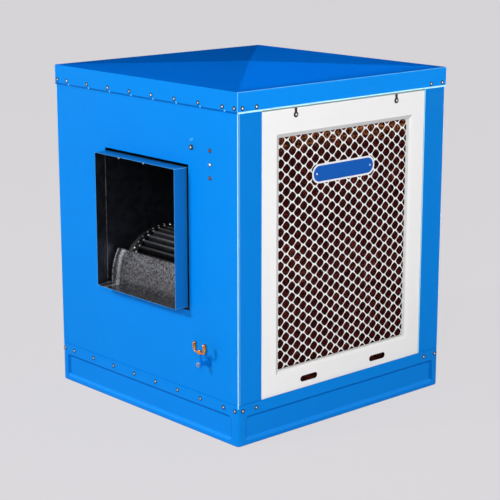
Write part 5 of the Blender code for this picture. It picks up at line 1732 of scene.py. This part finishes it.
@dataclass
class WaterWorks(Assembly):
    """Pump, hose, spider, troughs, float valve, shut-off and drain."""

    pump: Pair = (0.3007, 0.2907)
    spigot: float = 0.045
    inlet: Pair = (0.308, 0.236)
    pivot_y: float = -0.4007
    basket: float = 0.0535
    spider: Triple = (0.0, 0.100, 1.0473)
    hose_radius: float = 0.009
    float_reach: float = 0.140
    float_drop: float = 0.178
    float_size: float = 0.0338
    float_seam: float = 0.0009
    handle_y: float = -0.4786
    handle_z: float = 0.2543
    handle_rise: float = 0.014
    ear: Triple = (0.0230, 0.036, 0.0045)

    def build(self) -> None:
        """Build every piece of the water side."""
        self._pump()
        self._hose()
        self._spider()
        self._float()
        self._shut_off()
        self._drain()
        self.bench.dress([f"water_trough_{side.key}" for side in Side], ZINC)

    def _pump(self) -> None:
        """The strainer basket of upright ribs, the pump's motor over its cover, and the impeller."""
        foot, top = levels("pump_basket", Axis.Z)
        size, wall = self.basket, 0.0025
        floor = [(0.0, 0.0), (0.0, size), (0.008, size), (0.008, size - wall)]
        floor += [(0.003, size - 0.004), (0.003, 0.0)]
        hoop = [(-0.008, size - wall), (-0.008, size), (0.0, size), (0.0, size - wall)]
        basket = turned(raised(foot, floor), Axis.Z, self.pump, 48)
        basket = basket + turned(raised(top, hoop), Axis.Z, self.pump, 48, 0.0004)
        low, high = (size - 0.0022, -0.0014, foot + 0.006), (size - 0.0002, 0.0014, top - 0.006)
        rib = box_surface(low, high, 0.0004)
        self.bench.piece("strainer", basket + self._round_pump(rib, 40), BLACK, ["pump_basket"])
        cover, crown = levels("pump_body", Axis.Z)
        bore, can = 0.0045, 0.034
        line = [(0.0, bore), (0.0, 0.054), (0.006, 0.054), (0.007, 0.020), (0.030, 0.016), (0.034, 0.030)]
        line = raised(cover, [*line, (0.040, can)])
        line += raised(crown, [(-0.010, can), (-0.003, 0.030), (0.0, 0.020), (0.0, bore)])
        spout = [(0.003, 0.0), (0.003, 0.0085), (0.010, 0.0075), (0.030, 0.007), (0.030, 0.0)]
        seat = (self.pump[0] - self.spigot, self.pump[1])
        body = turned(line, Axis.Z, self.pump, 48, 0.0015) + turned(raised(cover, spout), Axis.Z, seat, 24)
        self.bench.piece("pump_housing", body, BLACK, ["pump_body"])
        foot, top = levels("pump_impeller", Axis.Z)
        stem = 0.004
        line = [(0.0, 0.0), (0.0, 0.030), (0.003, 0.030), (0.004, 0.007), (0.014, 0.007), (0.015, stem)]
        rotor = turned([*raised(foot, line), (top, stem), (top, 0.0)], Axis.Z, self.pump, 36)
        vane = box_surface((0.005, -0.001, foot + 0.002), (0.0285, 0.001, foot + 0.0135), 0.0004)
        rotor = rotor + self._round_pump(vane, 6)
        self.bench.piece("impeller", rotor, BLACK, ["pump_impeller"], Body.PUMP)

    def _round_pump(self, shape: Surface, count: int) -> Surface:
        """Copies of a shape, spaced evenly round the pump's axis."""
        turns = turn_about(Axis.Z, np.arange(count) * 2 * math.pi / count)
        return shape.copies(turns, np.tile([*self.pump, 0.0], (count, 1)))

    def _hose(self) -> None:
        """The riser hose along its route, with a clip at each end."""
        x, y = self.pump[0] - self.spigot, self.pump[1]
        route = [(x, y, 0.1064), (x, y, 0.200), (0.258, 0.292, 0.420), (0.236, 0.276, 0.610)]
        route += [(0.160, 0.220, 0.750), (0.066, 0.150, 0.830), (0.014, 0.110, 0.890)]
        route += [(0.000, 0.100, 0.943), (0.000, 0.100, 0.969), (0.000, 0.100, 0.995)]
        path = smooth_route(route, 8)
        hose = tube_along(path, self.hose_radius)
        tube = self.bench.piece("hose_tube", hose, RUBBER, ["riser_hose"], crisp=False)
        band = [(-0.004, 0.0088), (-0.004, 0.0098), (0.004, 0.0098), (0.004, 0.0088)]
        clip = turned(band, Axis.Z, ORIGIN, 24, 0.0003)
        clip = clip + box_surface((0.009, -0.004, -0.005), (0.014, 0.004, 0.005))
        spots = [(x, y, 0.116), (0.0, 0.100, 0.985)]
        self.bench.piece("hose_clips", Surface.joined(clip.placed(None, spot) for spot in spots), STEEL)

    def _spider(self) -> None:
        """The three-armed pipe: a capped body with a spigot below and three level tubes."""
        x, y, z = self.spider
        low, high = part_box("water_spider")
        neck, cap, pipe = 0.007, 0.016, 0.006
        line = [(low[2], 0.0), (low[2], neck)]
        line += raised(high[2], [(-0.034, neck), (-0.034, cap), (0.0, cap), (0.0, 0.0)])
        body = turned(line, Axis.Z, (x, y), 32, 0.0015)
        body = body + turned(rod(low[0], high[0], pipe), Axis.X, (y, z), 24)
        body = body + turned(rod(y, high[1], pipe), Axis.Y, (x, z), 24)
        self.bench.piece("spider_pipe", body, BLACK, ["water_spider"])

    def _float(self) -> None:
        """The float ball with its moulding seam; the valve and the arm keep their CAD shape in brass."""
        centre = (self.inlet[0], self.pivot_y + self.float_reach, self.inlet[1] - self.float_drop)
        swing = np.linspace(-math.pi / 2, math.pi / 2, 37)
        radius = self.float_size - self.float_seam * (1 - np.exp(-((swing / 0.035) ** 2)))
        line = radius[:, None] * np.stack([np.sin(swing), np.cos(swing)], axis=1)
        line[[0, -1], 1] = 0.0
        ball = turned(line, Axis.Y, ORIGIN, 48, 0.0).placed(None, centre)
        self.bench.piece("float_sphere", ball, FLOAT_RED, ["float_ball"], Body.FLOAT, crisp=False)
        self.bench.dress(["float_valve", "float_arm"], BRASS)
        self.bench.dress(["inlet_nut"], BLUE)

    def _shut_off(self) -> None:
        """The shut-off: a painted body with a bored mouth, its bonnet, and a brass handle."""
        x, z = self.inlet
        front, back = levels("stopcock", Axis.Y)
        tail = [(0.0, 0.0), (0.0, 0.0075), (-0.006, 0.0075), (-0.007, 0.006), (-0.012, 0.006)]
        tail += [(-0.014, 0.0066)]
        mouth = [(0.007, 0.0066), (0.0065, 0.0058), (0.0055, 0.0058), (0.005, 0.0072), (0.0, 0.0072)]
        mouth += [(0.0, 0.004), (0.016, 0.004), (0.016, 0.0)]
        body = turned(raised(back, tail) + raised(front, mouth), Axis.Y, (x, z), 36, 0.0005)
        body.tints = (body.middles()[:, 1] < front + 0.0052).astype(int)
        stem = 0.018 + self.handle_rise
        bonnet = [(0.0, 0.0), (0.0, 0.0052), (0.011, 0.0052), (0.012, 0.006), (0.015, 0.006)]
        bonnet += [(0.016, 0.0046), (stem, 0.0046), (stem, 0.0)]
        body = body + turned(raised(z, bonnet), Axis.Z, (x, self.handle_y), 32, 0.0005)
        self.bench.piece("shut_off_body", body, [BLUE, STEEL], ["stopcock"])
        boss = [(FIT, 0.0), (FIT, 0.0068), (0.010, 0.0064), (0.012, 0.004), (0.0132, 0.0036)]
        boss += [(0.0132, 0.0)]
        handle = self._wings() + turned(boss, Axis.Z, ORIGIN, 28)
        handle = handle.placed(None, (x, self.handle_y, self.handle_z + self.handle_rise))
        self.bench.piece("shut_off_wings", handle, BRASS, ["stopcock_handle"], Body.LEVER)

    def _wings(self) -> Surface:
        """The handle's two ears: a rod along a square-bottomed U whose girth grows up the ears.

        Returns:
            The closed surface.
        """
        ear, top, bar = self.ear
        plane = rounded([(-ear, top), (-ear, bar), (ear, bar), (ear, top)], 0.006, 6)
        walked = np.concatenate([[0.0], np.cumsum(np.linalg.norm(np.diff(plane, axis=0), axis=1))])
        at = np.linspace(0.0, walked[-1], 61)
        path = lift(np.stack([np.interp(at, walked, line) for line in plane.T], axis=1), 0.0, Axis.Y)
        to_end = np.minimum(at, walked[-1] - at)
        girth = 0.0026 + 0.0032 * smooth((path[:, 2] - bar - 0.002) / 0.010)
        return tube_along(path, girth * (0.45 + 0.55 * smooth(to_end / 0.003)), 16)

    def _drain(self) -> None:
        """The flanged bush in the pan's floor and the overflow pipe that stands in it."""
        bush = [(FIT, 0.0106), (FIT, 0.0148), (0.0013, 0.0148), (0.0013, 0.024)]
        bush += [(0.0063, 0.023), (0.0073, 0.0106)]
        self.bench.piece("drain_seat", turned(bush, Axis.Z, DRAIN), BRASS, ["drain_bush"])
        foot, top = levels("overflow_pipe", Axis.Z)
        bore, wall, collar, lip = 0.007, 0.0098, 0.0138, 0.0105
        line = [(0.0, bore), (0.0, wall), (0.0073, wall), (0.0073, collar), (0.0123, collar)]
        line = raised(foot, [*line, (0.0123, wall)])
        line += raised(top, [(-0.004, wall), (-0.003, lip), (0.0, lip), (0.0, bore)])
        pipe = turned(line, Axis.Z, DRAIN, 36, 0.0005)
        self.bench.piece("standpipe", pipe, BLACK, ["overflow_pipe"], Body.OVERFLOW)


# Electrical entry


@dataclass
class Electrics(Assembly):
    """The cable gland in the front wall and the junction box behind it."""

    gland: Pair = (0.240, 0.886)

    def build(self) -> None:
        """Turn the gland's nut and the pale plug in its bore; the box keeps its CAD shape."""
        front, back = levels("cable_gland", Axis.Y)
        wall, bore, thread = -WALL - FIT, 0.0046, 0.0078
        nut = raised(front, [(0.0, bore), (0.0, 0.0060), (0.002, 0.0074), (0.0035, 0.0080)])
        nut += [(wall, 0.0080), (wall, thread), (back, thread), (back, bore)]
        plug = [(0.0006, 0.0), (0.0006, 0.0024), (0.0012, 0.0032), (0.008, 0.0032), (0.008, 0.0)]
        shape = turned(nut, Axis.Y, self.gland, 32, 0.0005)
        shape = shape + turned(raised(front, plug), Axis.Y, self.gland, 24, 0.0003, tint=1)
        self.bench.piece("gland_nut", shape, [BLACK, BRIGHT_STEEL], ["cable_gland"])
        self.bench.dress(["junction_box"], BLACK)


# Pad cassettes


@dataclass
class Cassette(Assembly):
    """A pad cassette: pressed white frame with finger slots, diamond net, fibre pad and two clips.

    It is drawn for the right-hand wall, with x out of the wall, and turned to the other walls.
    """

    face: float = 0.4455
    half: float = 0.350
    foot: float = WALL_FOOT
    head: float = 1.004
    depth: float = 0.058
    sheet: float = 0.001
    side_border: float = 0.057
    head_border: float = 0.073
    foot_border: float = 0.072
    bevel: float = 0.0125
    bevel_depth: float = 0.012
    slope: Pair = (0.0110, 0.0030)
    back_lip: float = 0.014
    outer_corner: float = 0.003
    inner_corner: float = 0.005
    slot_spacing: float = 0.306
    slot_rise: float = 0.038
    slot_size: Pair = (0.073, 0.0195)
    net_lap: float = 0.007
    net_sheet: float = 0.0012
    net_columns: int = 12
    net_rows: int = 21
    net_power: float = 1.37
    net_reach: Pair = (0.675, 0.855)
    clip_across: float = 0.217
    clip_drop: float = 0.0208
    pad_gap: float = 0.002
    pad_cells: tuple[int, int] = (150, 190)
    pad_seed: int = 40
    pad_waves: tuple[Pair, ...] = ((0.045, 0.5), (0.020, 0.7), (0.010, 0.7), (0.0055, 0.5))
    pad_relief: float = 0.0020
    pad_crown: float = 0.030
    pad_round: Pair = (0.014, 0.010)
    pad_sink: float = 0.0022

    def build(self) -> None:
        """Make the frame once, then place frame, net, pad and clips on each wall."""
        pattern = self._frame_mesh()
        net = self._net()
        clips = self._clips()
        for number, side in enumerate(Side):
            key, body, turn = side.key, side.body, side.matrix
            self._frame(pattern, side)
            web = self.bench.piece(
                f"net_{key}", net.placed(turn), WHITE, [f"pad_net_{key}"], body, outward=False, crisp=False
            )
            thicken(web, self.net_sheet)
            pad = self._pad(number).placed(turn)
            nodes = [f"cooling_pad_{key}"]
            fibre = self.bench.piece(f"fibre_pad_{key}", pad, PAD, nodes, body, crisp=False)
            self.bench.piece(f"clips_{key}", clips.placed(turn), [DARK_STEEL, STEEL], body=body)
        self._plate()

    def _rectangles(self, reach: Array) -> tuple[Array, Array, Array]:
        """Rectangles that shrink from the frame's outline to its opening and on inwards.

        Up to the side border each side comes in by a share of its own border; past it, all come in alike.

        Args:
            reach: How far in each row stands, measured across the side border.

        Returns:
            Lower corners, upper corners and corner radii.
        """
        share = np.clip(reach / self.side_border, 0.0, 1.0)
        extra = np.maximum(reach - self.side_border, 0.0)
        side = share * self.side_border + extra
        low = np.stack([-self.half + side, self.foot + share * self.foot_border + extra], axis=1)
        high = np.stack([self.half - side, self.head - share * self.head_border - extra], axis=1)
        radius = self.outer_corner + (self.inner_corner - self.outer_corner) * share - 0.3 * extra
        return low, high, radius

    def _frame_mesh(self) -> bpy.types.Mesh:
        """The frame's mesh: its pressed section carried round, with slots cut for fingers and water.

        Returns:
            The mesh on the right-hand wall, with the bevels that look down or left numbered 1 for a
            painted shade.
        """
        border, inner, sunk = self.side_border, self.side_border + self.bevel, -self.bevel_depth
        section = [(self.back_lip, -self.depth), (0.0, -self.depth), (0.0, 0.0), (border, 0.0)]
        section += [(border + self.slope[0], -self.slope[1]), (inner, sunk), (inner, sunk - 0.0012)]
        line = rounded(section, [0.0012, 0.0026, 0.004, 0.0012, 0.0006], steps=5)
        skins = []
        for edge in (line, offset(line, -self.sheet)):
            low, high, radius = self._rectangles(np.maximum(edge[:, 0], 0.0))
            extra = np.minimum(edge[:, 0], 0.0)[:, None]
            plane = rectangle_loop(low + extra, high - extra, radius, steps=6)
            skins.append(lift(plane, self.face + edge[:, 1:], Axis.X))
        frame = show("frame_pattern", Surface.shell(*skins, loop=True).mesh("frame_pattern"))
        cutters = [show("cutter", shape.mesh("cutter")) for shape in self._cutters()]
        for cutter in cutters:
            cut = frame.modifiers.new(cutter.name, "BOOLEAN")
            cut.object = cutter
            cut.solver = "EXACT"
        graph = bpy.context.evaluated_depsgraph_get()
        mesh = bpy.data.meshes.new_from_object(frame.evaluated_get(graph))
        for spare in [frame, *cutters]:
            bpy.data.objects.remove(spare, do_unlink=True)
        middles, normals = np.empty((2, len(mesh.polygons), 3))
        mesh.polygons.foreach_get("center", middles.ravel())
        mesh.polygons.foreach_get("normal", normals.ravel())
        bevels = (middles[:, 0] > self.face - 1.1 * self.bevel_depth) & (normals[:, 0] > 0.05)
        inside = (np.abs(middles[:, 1]) < self.half - 0.9 * border) & (middles[:, 2] > self.foot + 0.06)
        # The bevels that look down or left get a painted shade.
        greyed = bevels & inside & ((normals[:, 2] < -0.1) | (normals[:, 1] > 0.1))
        mesh.polygons.foreach_set("material_index", greyed.astype(np.int32))
        return mesh

    def _cutters(self) -> list[Surface]:
        """The two finger slots and the water slots in the frame's head and foot.

        Returns:
            A closed shape for each slot.
        """
        length, height = self.slot_size
        outline = stadium((length - height) / 2, height / 2)
        through, half, reach, rise = 0.004, 0.013, 0.300, 0.003
        shapes = []
        for middle in (-self.slot_spacing / 2, self.slot_spacing / 2):
            place = outline + [middle, self.foot + self.slot_rise]
            shapes.append(slab(place, Axis.X, (self.face - through, self.face + through), 0.0))
        middle = self.face - self.depth / 2
        for level in (self.foot, self.head):
            low, high = (middle - half, -reach, level - rise), (middle + half, reach, level + rise)
            shapes.append(box_surface(low, high, 0.0005))
        return shapes

    def _frame(self, pattern: bpy.types.Mesh, side: Side) -> None:
        """Turn a copy of the frame's mesh to one wall, by the side's matrix on every point.

        Args:
            pattern: The mesh on the right-hand wall.
            side: The wall.
        """
        mesh = pattern.copy()
        mesh.name = f"pressed_frame_{side.key}"
        points = np.empty(len(mesh.vertices) * 3)
        mesh.vertices.foreach_get("co", points)
        mesh.vertices.foreach_set("co", (points.reshape(-1, 3) @ side.matrix.T).ravel())
        self.bench.piece(mesh.name, mesh, [WHITE, SHADED_WHITE], [f"pad_frame_{side.key}"], side.body)

    def _net(self) -> Surface:
        """The net's front skin: diamond cells, each a ring from its hole's edge up to the strands' crests.

        A hole's edge is |u / a| to the power p plus |v / b| to the power p equal to 1, and the crest
        runs straight between the cell's corners. Cells over the border are pressed flat onto it.

        Returns:
            The open skin.
        """
        inner = self.side_border + self.bevel
        low, high, _ = self._rectangles(np.array([inner - self.net_lap]))
        (u0, v0), (u1, v1) = low[0], high[0]
        wide, tall = (u1 - u0) / self.net_columns, (v1 - v0) / self.net_rows
        quarter_turn = math.pi / 2
        angle = np.linspace(0.0, 2 * math.pi, 24, endpoint=False)
        circle = np.stack([np.cos(angle), np.sin(angle)], axis=1)
        hole = np.sign(circle) * np.abs(circle) ** (2 / self.net_power) * np.array(self.net_reach)
        share = ((angle / quarter_turn) % 1.0)[:, None]
        quarter = np.floor(angle / quarter_turn + TINY).astype(int)
        tips = np.array([(1.0, 0.0), (0.0, 1.0), (-1.0, 0.0), (0.0, -1.0)])
        crest = tips[quarter] * (1 - share) + tips[(quarter + 1) % 4] * share
        plane = np.stack([hole, hole * 0.55 + crest * 0.45, crest]) * np.array([wide / 2, tall / 2])
        depth = np.array([-0.0009, -0.00015, 0.0])
        cell = Surface.grid(lift(plane, depth[:, None], Axis.X), columns=True)
        counts = (np.arange(2 * self.net_columns + 1), np.arange(2 * self.net_rows + 1))
        i, j = np.meshgrid(*counts, indexing="ij")
        even = (i + j) % 2 == 0
        spots = np.stack([np.zeros(even.sum()), u0 + i[even] * wide / 2, v0 + j[even] * tall / 2], axis=1)
        net = cell.copies(np.tile(np.eye(3), (len(spots), 1, 1)), spots)
        net.points[:, 1:] = np.clip(net.points[:, 1:], low[0], high[0])
        net.points[:, 0] += self.face - self.bevel_depth - self.sheet - FIT
        net.quads = net.quads[:, ::-1]
        return net.solid_only()

    def _pad(self, seed: int) -> Surface:
        """The pad: a closed block whose faces are pushed about by layered waves, crowned a little.

        Args:
            seed: Which pad, so that no two look alike.

        Returns:
            The closed surface.
        """
        front = self.face - self.bevel_depth - self.sheet - FIT - self.pad_gap - FIT
        back = self.face - self.depth + self.sheet + FIT
        low = np.array([-self.half, self.foot]) + self.sheet + FIT + self.pad_gap
        high = np.array([self.half, self.head]) - self.sheet - FIT - self.pad_gap
        lines = [np.linspace(*ends) for ends in zip(low, high, self.pad_cells)]
        grid_u, grid_v = np.meshgrid(*lines, indexing="ij")
        draw = np.random.default_rng(self.pad_seed + seed)
        bump = np.zeros_like(grid_u)
        for scale, height in self.pad_waves:
            for _ in range(7):
                heading, phase = draw.uniform(0.0, 2 * math.pi, 2)
                wave = (grid_u * math.cos(heading) + grid_v * math.sin(heading)) / scale * 2 * math.pi
                warp = np.sin(grid_u / scale * 1.7 + phase) + np.sin(grid_v / scale * 1.3 - phase)
                bump += height * np.sin(wave + 1.5 * warp + phase)
        bump /= np.abs(bump).max()
        edge = np.minimum.reduce([grid_u - low[0], high[0] - grid_u, grid_v - low[1], high[1] - grid_v])
        crown, (reach, drop) = self.pad_relief * smooth(edge / self.pad_crown), self.pad_round
        sunk = self.pad_sink + drop * (1 - smooth(edge / reach))
        fore = front - sunk + bump * crown
        aft = back + sunk + bump[::-1] * crown
        faces = [np.stack([level, grid_u, grid_v], axis=2) for level in (fore, aft)]
        cuts = (np.s_[0, :], np.s_[-1, :], np.s_[:, 0], np.s_[:, -1])
        rims = [np.stack([face[cut] for face in faces]) for cut in cuts]
        return Surface.joined(map(Surface.grid, faces + rims))

    def _clips(self) -> Surface:
        """Two spring clips at the frame's head: a flat stem with a round eye, and a screw in each eye.

        Returns:
            Both clips, then both screws.
        """
        stem = [(-0.0042, 0.004), (0.0042, 0.004), (0.0048, 0.0205), (-0.0048, 0.0205)]
        eye = [(0.0002, 0.0), (0.0002, 0.0088), (0.0018, 0.0088), (0.0024, 0.0078), (0.0024, 0.0)]
        screw = [(0.0024, 0.0), (0.0024, 0.0040), (0.0033, 0.0034), (0.0038, 0.0020), (0.0040, 0.0)]
        strap = slab(rounded(stem, 0.0008, 2, True), Axis.X, (0.0002, 0.0016), 0.0004)
        strap = strap + turned(eye, Axis.X, ORIGIN, 28, 0.0003)
        head = turned(screw, Axis.X, ORIGIN, 20, 0.0002, tint=1)
        level = self.head - self.clip_drop
        spots = [(self.face, across, level) for across in (-self.clip_across, self.clip_across)]
        return Surface.joined(part.placed(None, spot) for part in (strap, head) for spot in spots)

    def _plate(self) -> None:
        """The bare name plate: a stadium with a raised pale border and a pale rivet at each end."""
        low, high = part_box("name_plate")
        middle = (np.asarray(low) + np.asarray(high)) / 2
        radius = (high[2] - low[2]) / 2
        straight = (high[1] - low[1]) / 2 - radius
        back, front = low[0], high[0]
        floor = front - 0.0006
        rows = [(0.0, 0.0, back), (1.0, radius - 0.0003, back), (1.0, radius, back + 0.0004)]
        rows += [(1.0, radius, front - 0.0005), (1.0, radius - 0.0006, front)]
        rows += [(1.0, radius - 0.0052, front), (1.0, radius - 0.0058, floor), (0.0, 0.0, floor)]
        plane = np.stack([stadium(straight * share, size, 14) for share, size, _ in rows])
        along = np.array([level for _, _, level in rows])
        surface = Surface.grid(lift(plane + middle[1:], along[:, None], Axis.X), columns=True)
        surface.tints = np.repeat([1, 1, 1, 1, 1, 1, 0], plane.shape[1])
        line = [(0.0, 0.0), (0.0, 0.0030), (0.0004, 0.0028), (0.0006, 0.0015), (0.00065, 0.0)]
        stud = turned(line, Axis.X, ORIGIN, 18, 0.0001, tint=1)
        for way in (-1.0, 1.0):
            place = (front - 0.0007, middle[1] + way * (straight + 0.35 * radius), middle[2])
            surface = surface + stud.placed(None, place)
        finishes = [PLATE_BLUE, PLATE_WHITE]
        self.bench.piece("bare_plate", surface, finishes, ["name_plate"], Side.RIGHT.body)


# Fasteners


@dataclass
class Fasteners(Assembly):
    """Rivets along the eave and the base, screws in the front wall, and small tabs at the outlet."""

    eave_level: float = 1.022
    base_level: float = 0.112
    front_places: tuple[float, ...] = (0.054, 0.164, 0.274, 0.382, 0.434)
    side_places: tuple[float, ...] = (0.376, 0.430)
    rivet: float = 0.0072
    screw_x: float = 0.323
    screw_levels: tuple[float, ...] = (0.886, 0.844, 0.804)
    screw: float = 0.0066
    mark_shift: float = 0.010
    mark_rise: float = 0.0042
    mark_reach: float = 0.4
    wall_marks: tuple[Pair, ...] = ((0.236, 0.907), (0.243, 0.911))
    nub_places: Pair = (-0.056, 0.066)

    def build(self) -> None:
        """Place the rivets, the screws and the tabs."""
        self._rivets()
        self._screws()
        self._tabs()

    def _rivets(self) -> None:
        """Pulled rivets on all four faces, a pale dome on a dark washer, and small marks on the front
        coloured as painted highlights.
        """
        size, high = self.rivet, SKIN
        ring = [(0.0, 0.0), (0.0, size), (0.3 * high, size), (0.45 * high, 0.9 * size), (0.45 * high, 0.0)]
        dome = [(0.4 * high, 0.0), (0.4 * high, 0.44 * size), (0.75 * high, 0.36 * size)]
        dome += [(high, 0.2 * size), (high, 0.0)]
        stud = turned(ring, Axis.X, ORIGIN, 14, 0.0001) + turned(dome, Axis.X, ORIGIN, 12, 0.0001, tint=1)
        faces = {-90: self.front_places, 0: self.side_places, 90: self.side_places, 180: self.side_places}
        matrices, shifts = [], []
        for turn, places in faces.items():
            matrix = turn_about(Axis.Z, math.radians(turn))
            for level in (self.eave_level, self.base_level):
                for place in [*places, *(-place for place in places)]:
                    matrices.append(matrix)
                    shifts.append(matrix @ np.array([HALF - SKIN, place, level]))
        surface = stud.copies(np.stack(matrices), np.stack(shifts))
        self.bench.piece("rivets", surface, [DARK_STEEL, BRIGHT_STEEL])
        # Small domes under the front rivets and on the wall, coloured as painted highlights.
        line = [(0.0, 0.0), (0.0, 0.0034), (0.0007, 0.0028), (0.001, 0.0)]
        mark = turned(line, Axis.X, ORIGIN, 10, 0.0001)
        level = EAVE_FOOT + self.mark_rise
        near = [place for place in self.front_places if place < self.mark_reach]
        marks = [side * place for place in near for side in (-1, 1)]
        spots = [(place + self.mark_shift, SKIN - HALF, level) for place in marks]
        spots = np.array(spots + [(x, -WALL, z) for x, z in self.wall_marks])
        front = turn_about(Axis.Z, np.full(len(spots), -math.pi / 2))
        self.bench.piece("eave_marks", mark.copies(front, spots), LIGHT_EDGE)

    def _screws(self) -> None:
        """Three pan-head screws beside the cable entry, each on a dark washer, the middle one pale."""
        size = self.screw
        ring = [(0.0, 0.0), (0.0, size), (0.0008, size), (0.001, 0.9 * size), (0.001, 0.0)]
        head = [(0.0009, 0.0), (0.0009, 0.74 * size), (0.0022, 0.58 * size)]
        head += [(0.0028, 0.3 * size), (0.0028, 0.0)]
        turn = turn_about(Axis.Z, -math.pi / 2)
        washer = turned(ring, Axis.X, ORIGIN, 24, 0.0002)
        screws = []
        for tint, level in zip((1, 2, 1), self.screw_levels):
            made = washer + turned(head, Axis.X, ORIGIN, 24, 0.0002, tint)
            screws.append(made.placed(turn, (self.screw_x, -WALL, level)))
        self.bench.piece("wall_screws", Surface.joined(screws), [DARK_STEEL, RED_STEEL, BRIGHT_STEEL])

    def _tabs(self) -> None:
        """Two small weld nubs on the collar's top edge."""
        front, top, half = COLLAR_FRONT, OUTLET_HIGH[1], 0.003
        nub = box_surface((-half, front + 0.0006, top - 0.0055), (half, front + 0.0036, top - 0.0008))
        nubs = Surface.joined(nub.placed(None, (x, 0.0, 0.0)) for x in self.nub_places)
        self.bench.piece("collar_nubs", nubs, STEEL)


# Stage


@dataclass(frozen=True)
class Lamp:
    """A soft rectangular lamp that looks at a point of the cooler."""

    name: str
    place: Triple
    target: Triple
    size: Pair
    power: float
    spread: float = 180.0

    def build(self) -> None:
        """Add the lamp to the scene, out of the camera's sight."""
        light = bpy.data.lights.new(self.name, "AREA")
        light.shape = "RECTANGLE"
        light.size, light.size_y = self.size
        light.energy = self.power
        light.spread = math.radians(self.spread)
        lamp = show(self.name, light)
        lamp.visible_camera = False
        lamp.location = self.place
        look = Vector(self.target) - Vector(self.place)
        lamp.rotation_euler = look.to_track_quat("-Z", "Y").to_euler()


@dataclass
class Stage:
    """Pale floor and world, the lamps, and the camera of the photograph."""

    eye: Triple = (3.7063, -3.3366, 1.6676)
    azimuth: float = 47.979
    pitch: float = 13.644
    lens: float = 111.18
    backdrop: Colour = tone(215, 213, 216)
    shown_share: float = 0.92
    shown_strength: float = 1.055
    ambient: float = 0.39
    zenith: Pair = (0.15, 0.75)
    zenith_drop: float = 0.7
    lamps: tuple[Lamp, ...] = (
        Lamp("key", (-1.6, -5.2, 3.5), (0.0, 0.0, 0.5), (0.8, 0.8), 215.0),
        Lamp("fill", (5.0, 1.2, 1.7), (0.0, 0.0, 0.5), (2.4, 2.6), 77.0),
        Lamp("strip", (3.4, -3.6, 2.4), (0.4, -0.4, 0.6), (0.5, 2.4), 118.0),
        Lamp("rear", (0.5, 5.2, 0.6), (0.1, 0.45, 0.6), (1.2, 0.4), 5.2, 46.0),
        Lamp("left", (-5.2, -0.4, 0.6), (-0.45, -0.1, 0.6), (1.2, 0.4), 5.2, 46.0),
        Lamp("skim", (0.70, 0.0, 1.1019), (0.45, 0.0, 1.0962), (1.3, 0.05), 2.1, 1.0),
        Lamp("eave", (0.70, 0.0, 1.0385), (0.45, 0.0, 1.0385), (0.9, 0.062), 0.052, 1.0),
    )

    def build(self) -> None:
        """Set the world, the floor, the lamps, the camera and the view."""
        bpy.context.scene.view_settings.view_transform = "Standard"
        self._world()
        self._floor()
        for lamp in self.lamps:
            lamp.build()
        self._camera()

    @staticmethod
    def _seen(tree: Tree) -> Term:
        """1 for rays that show the backdrop itself: straight, mirrored or through glass.

        Args:
            tree: The tree to make it in.

        Returns:
            The term, 0 or 1.
        """

        def ray(output: str) -> Term:
            """One kind of ray, as 0 or 1."""
            return tree.node("ShaderNodeLightPath", output=output)

        return ray("Is Camera Ray").largest(ray("Is Glossy Ray")).largest(ray("Is Transmission Ray"))

    def _world(self) -> None:
        """A pale world that lights softly, more from the sides than from overhead."""
        world = bpy.data.worlds.new("studio")
        bpy.context.scene.world = world
        world.use_nodes = True
        tree = Tree(world.node_tree)
        overhead = tree.along(Axis.Z, "Generated").between(*self.zenith)
        glow = self.ambient * (1 - self.zenith_drop * overhead)
        soft = tree.node("ShaderNodeBackground", None, {"Color": (1.0, 1.0, 1.0, 1.0), "Strength": glow})
        shown = tree.node("ShaderNodeBackground", None, {"Color": (*self.backdrop, 1.0), "Strength": 1.0})
        mixed = tree.node("ShaderNodeMixShader", None, {0: self._seen(tree), 1: soft, 2: shown})
        tree.close(mixed, "ShaderNodeOutputWorld")

    def _floor(self) -> None:
        """A wide floor of the backdrop's colour that keeps the cooler's shadow."""
        reach, level = 60.0, -0.0005
        mesh = bpy.data.meshes.new("floor")
        ways = ((-1, -1), (1, -1), (1, 1), (-1, 1))
        mesh.from_pydata([(x * reach, y * reach, level) for x, y in ways], [], [(0, 1, 2, 3)])
        material = bpy.data.materials.new("pale floor")
        material.use_nodes = True
        tree = Tree(material.node_tree)
        colour = (*self.backdrop, 1.0)
        matte = tree.node("ShaderNodeBsdfDiffuse", None, {"Color": colour})
        glow = tree.node("ShaderNodeEmission", None, {"Color": colour, "Strength": self.shown_strength})
        shown = self._seen(tree) * self.shown_share
        tree.close(tree.node("ShaderNodeMixShader", None, {0: shown, 1: matte, 2: glow}))
        mesh.materials.append(material)
        show("floor", mesh)

    def _camera(self) -> None:
        """A camera at the photograph's place, with no shift."""
        data = bpy.data.cameras.new("camera")
        data.sensor_width = 36.0
        data.lens = self.lens
        camera = show("camera", data)
        camera.location = self.eye
        camera.rotation_euler = (math.radians(90.0 - self.pitch), 0.0, math.radians(self.azimuth))
        bpy.context.scene.camera = camera


def main() -> None:
    """Load the frame, build every sub-assembly in order and log how many pieces were made."""
    logging.basicConfig(level=logging.INFO, format="%(name)s: %(message)s")
    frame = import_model()
    Stage().build()
    bench = Bench(frame)
    cabinet = (Roof, BasePan, Walls, OutletSleeve)
    works = (Scroll, BlowerWheel, Drive, WaterWorks, Electrics, Cassette, Fasteners)
    for part in cabinet + works:
        part(bench).build()
    LOG.info("%d pieces", bench.made)


if __name__ == "__main__":
    main()
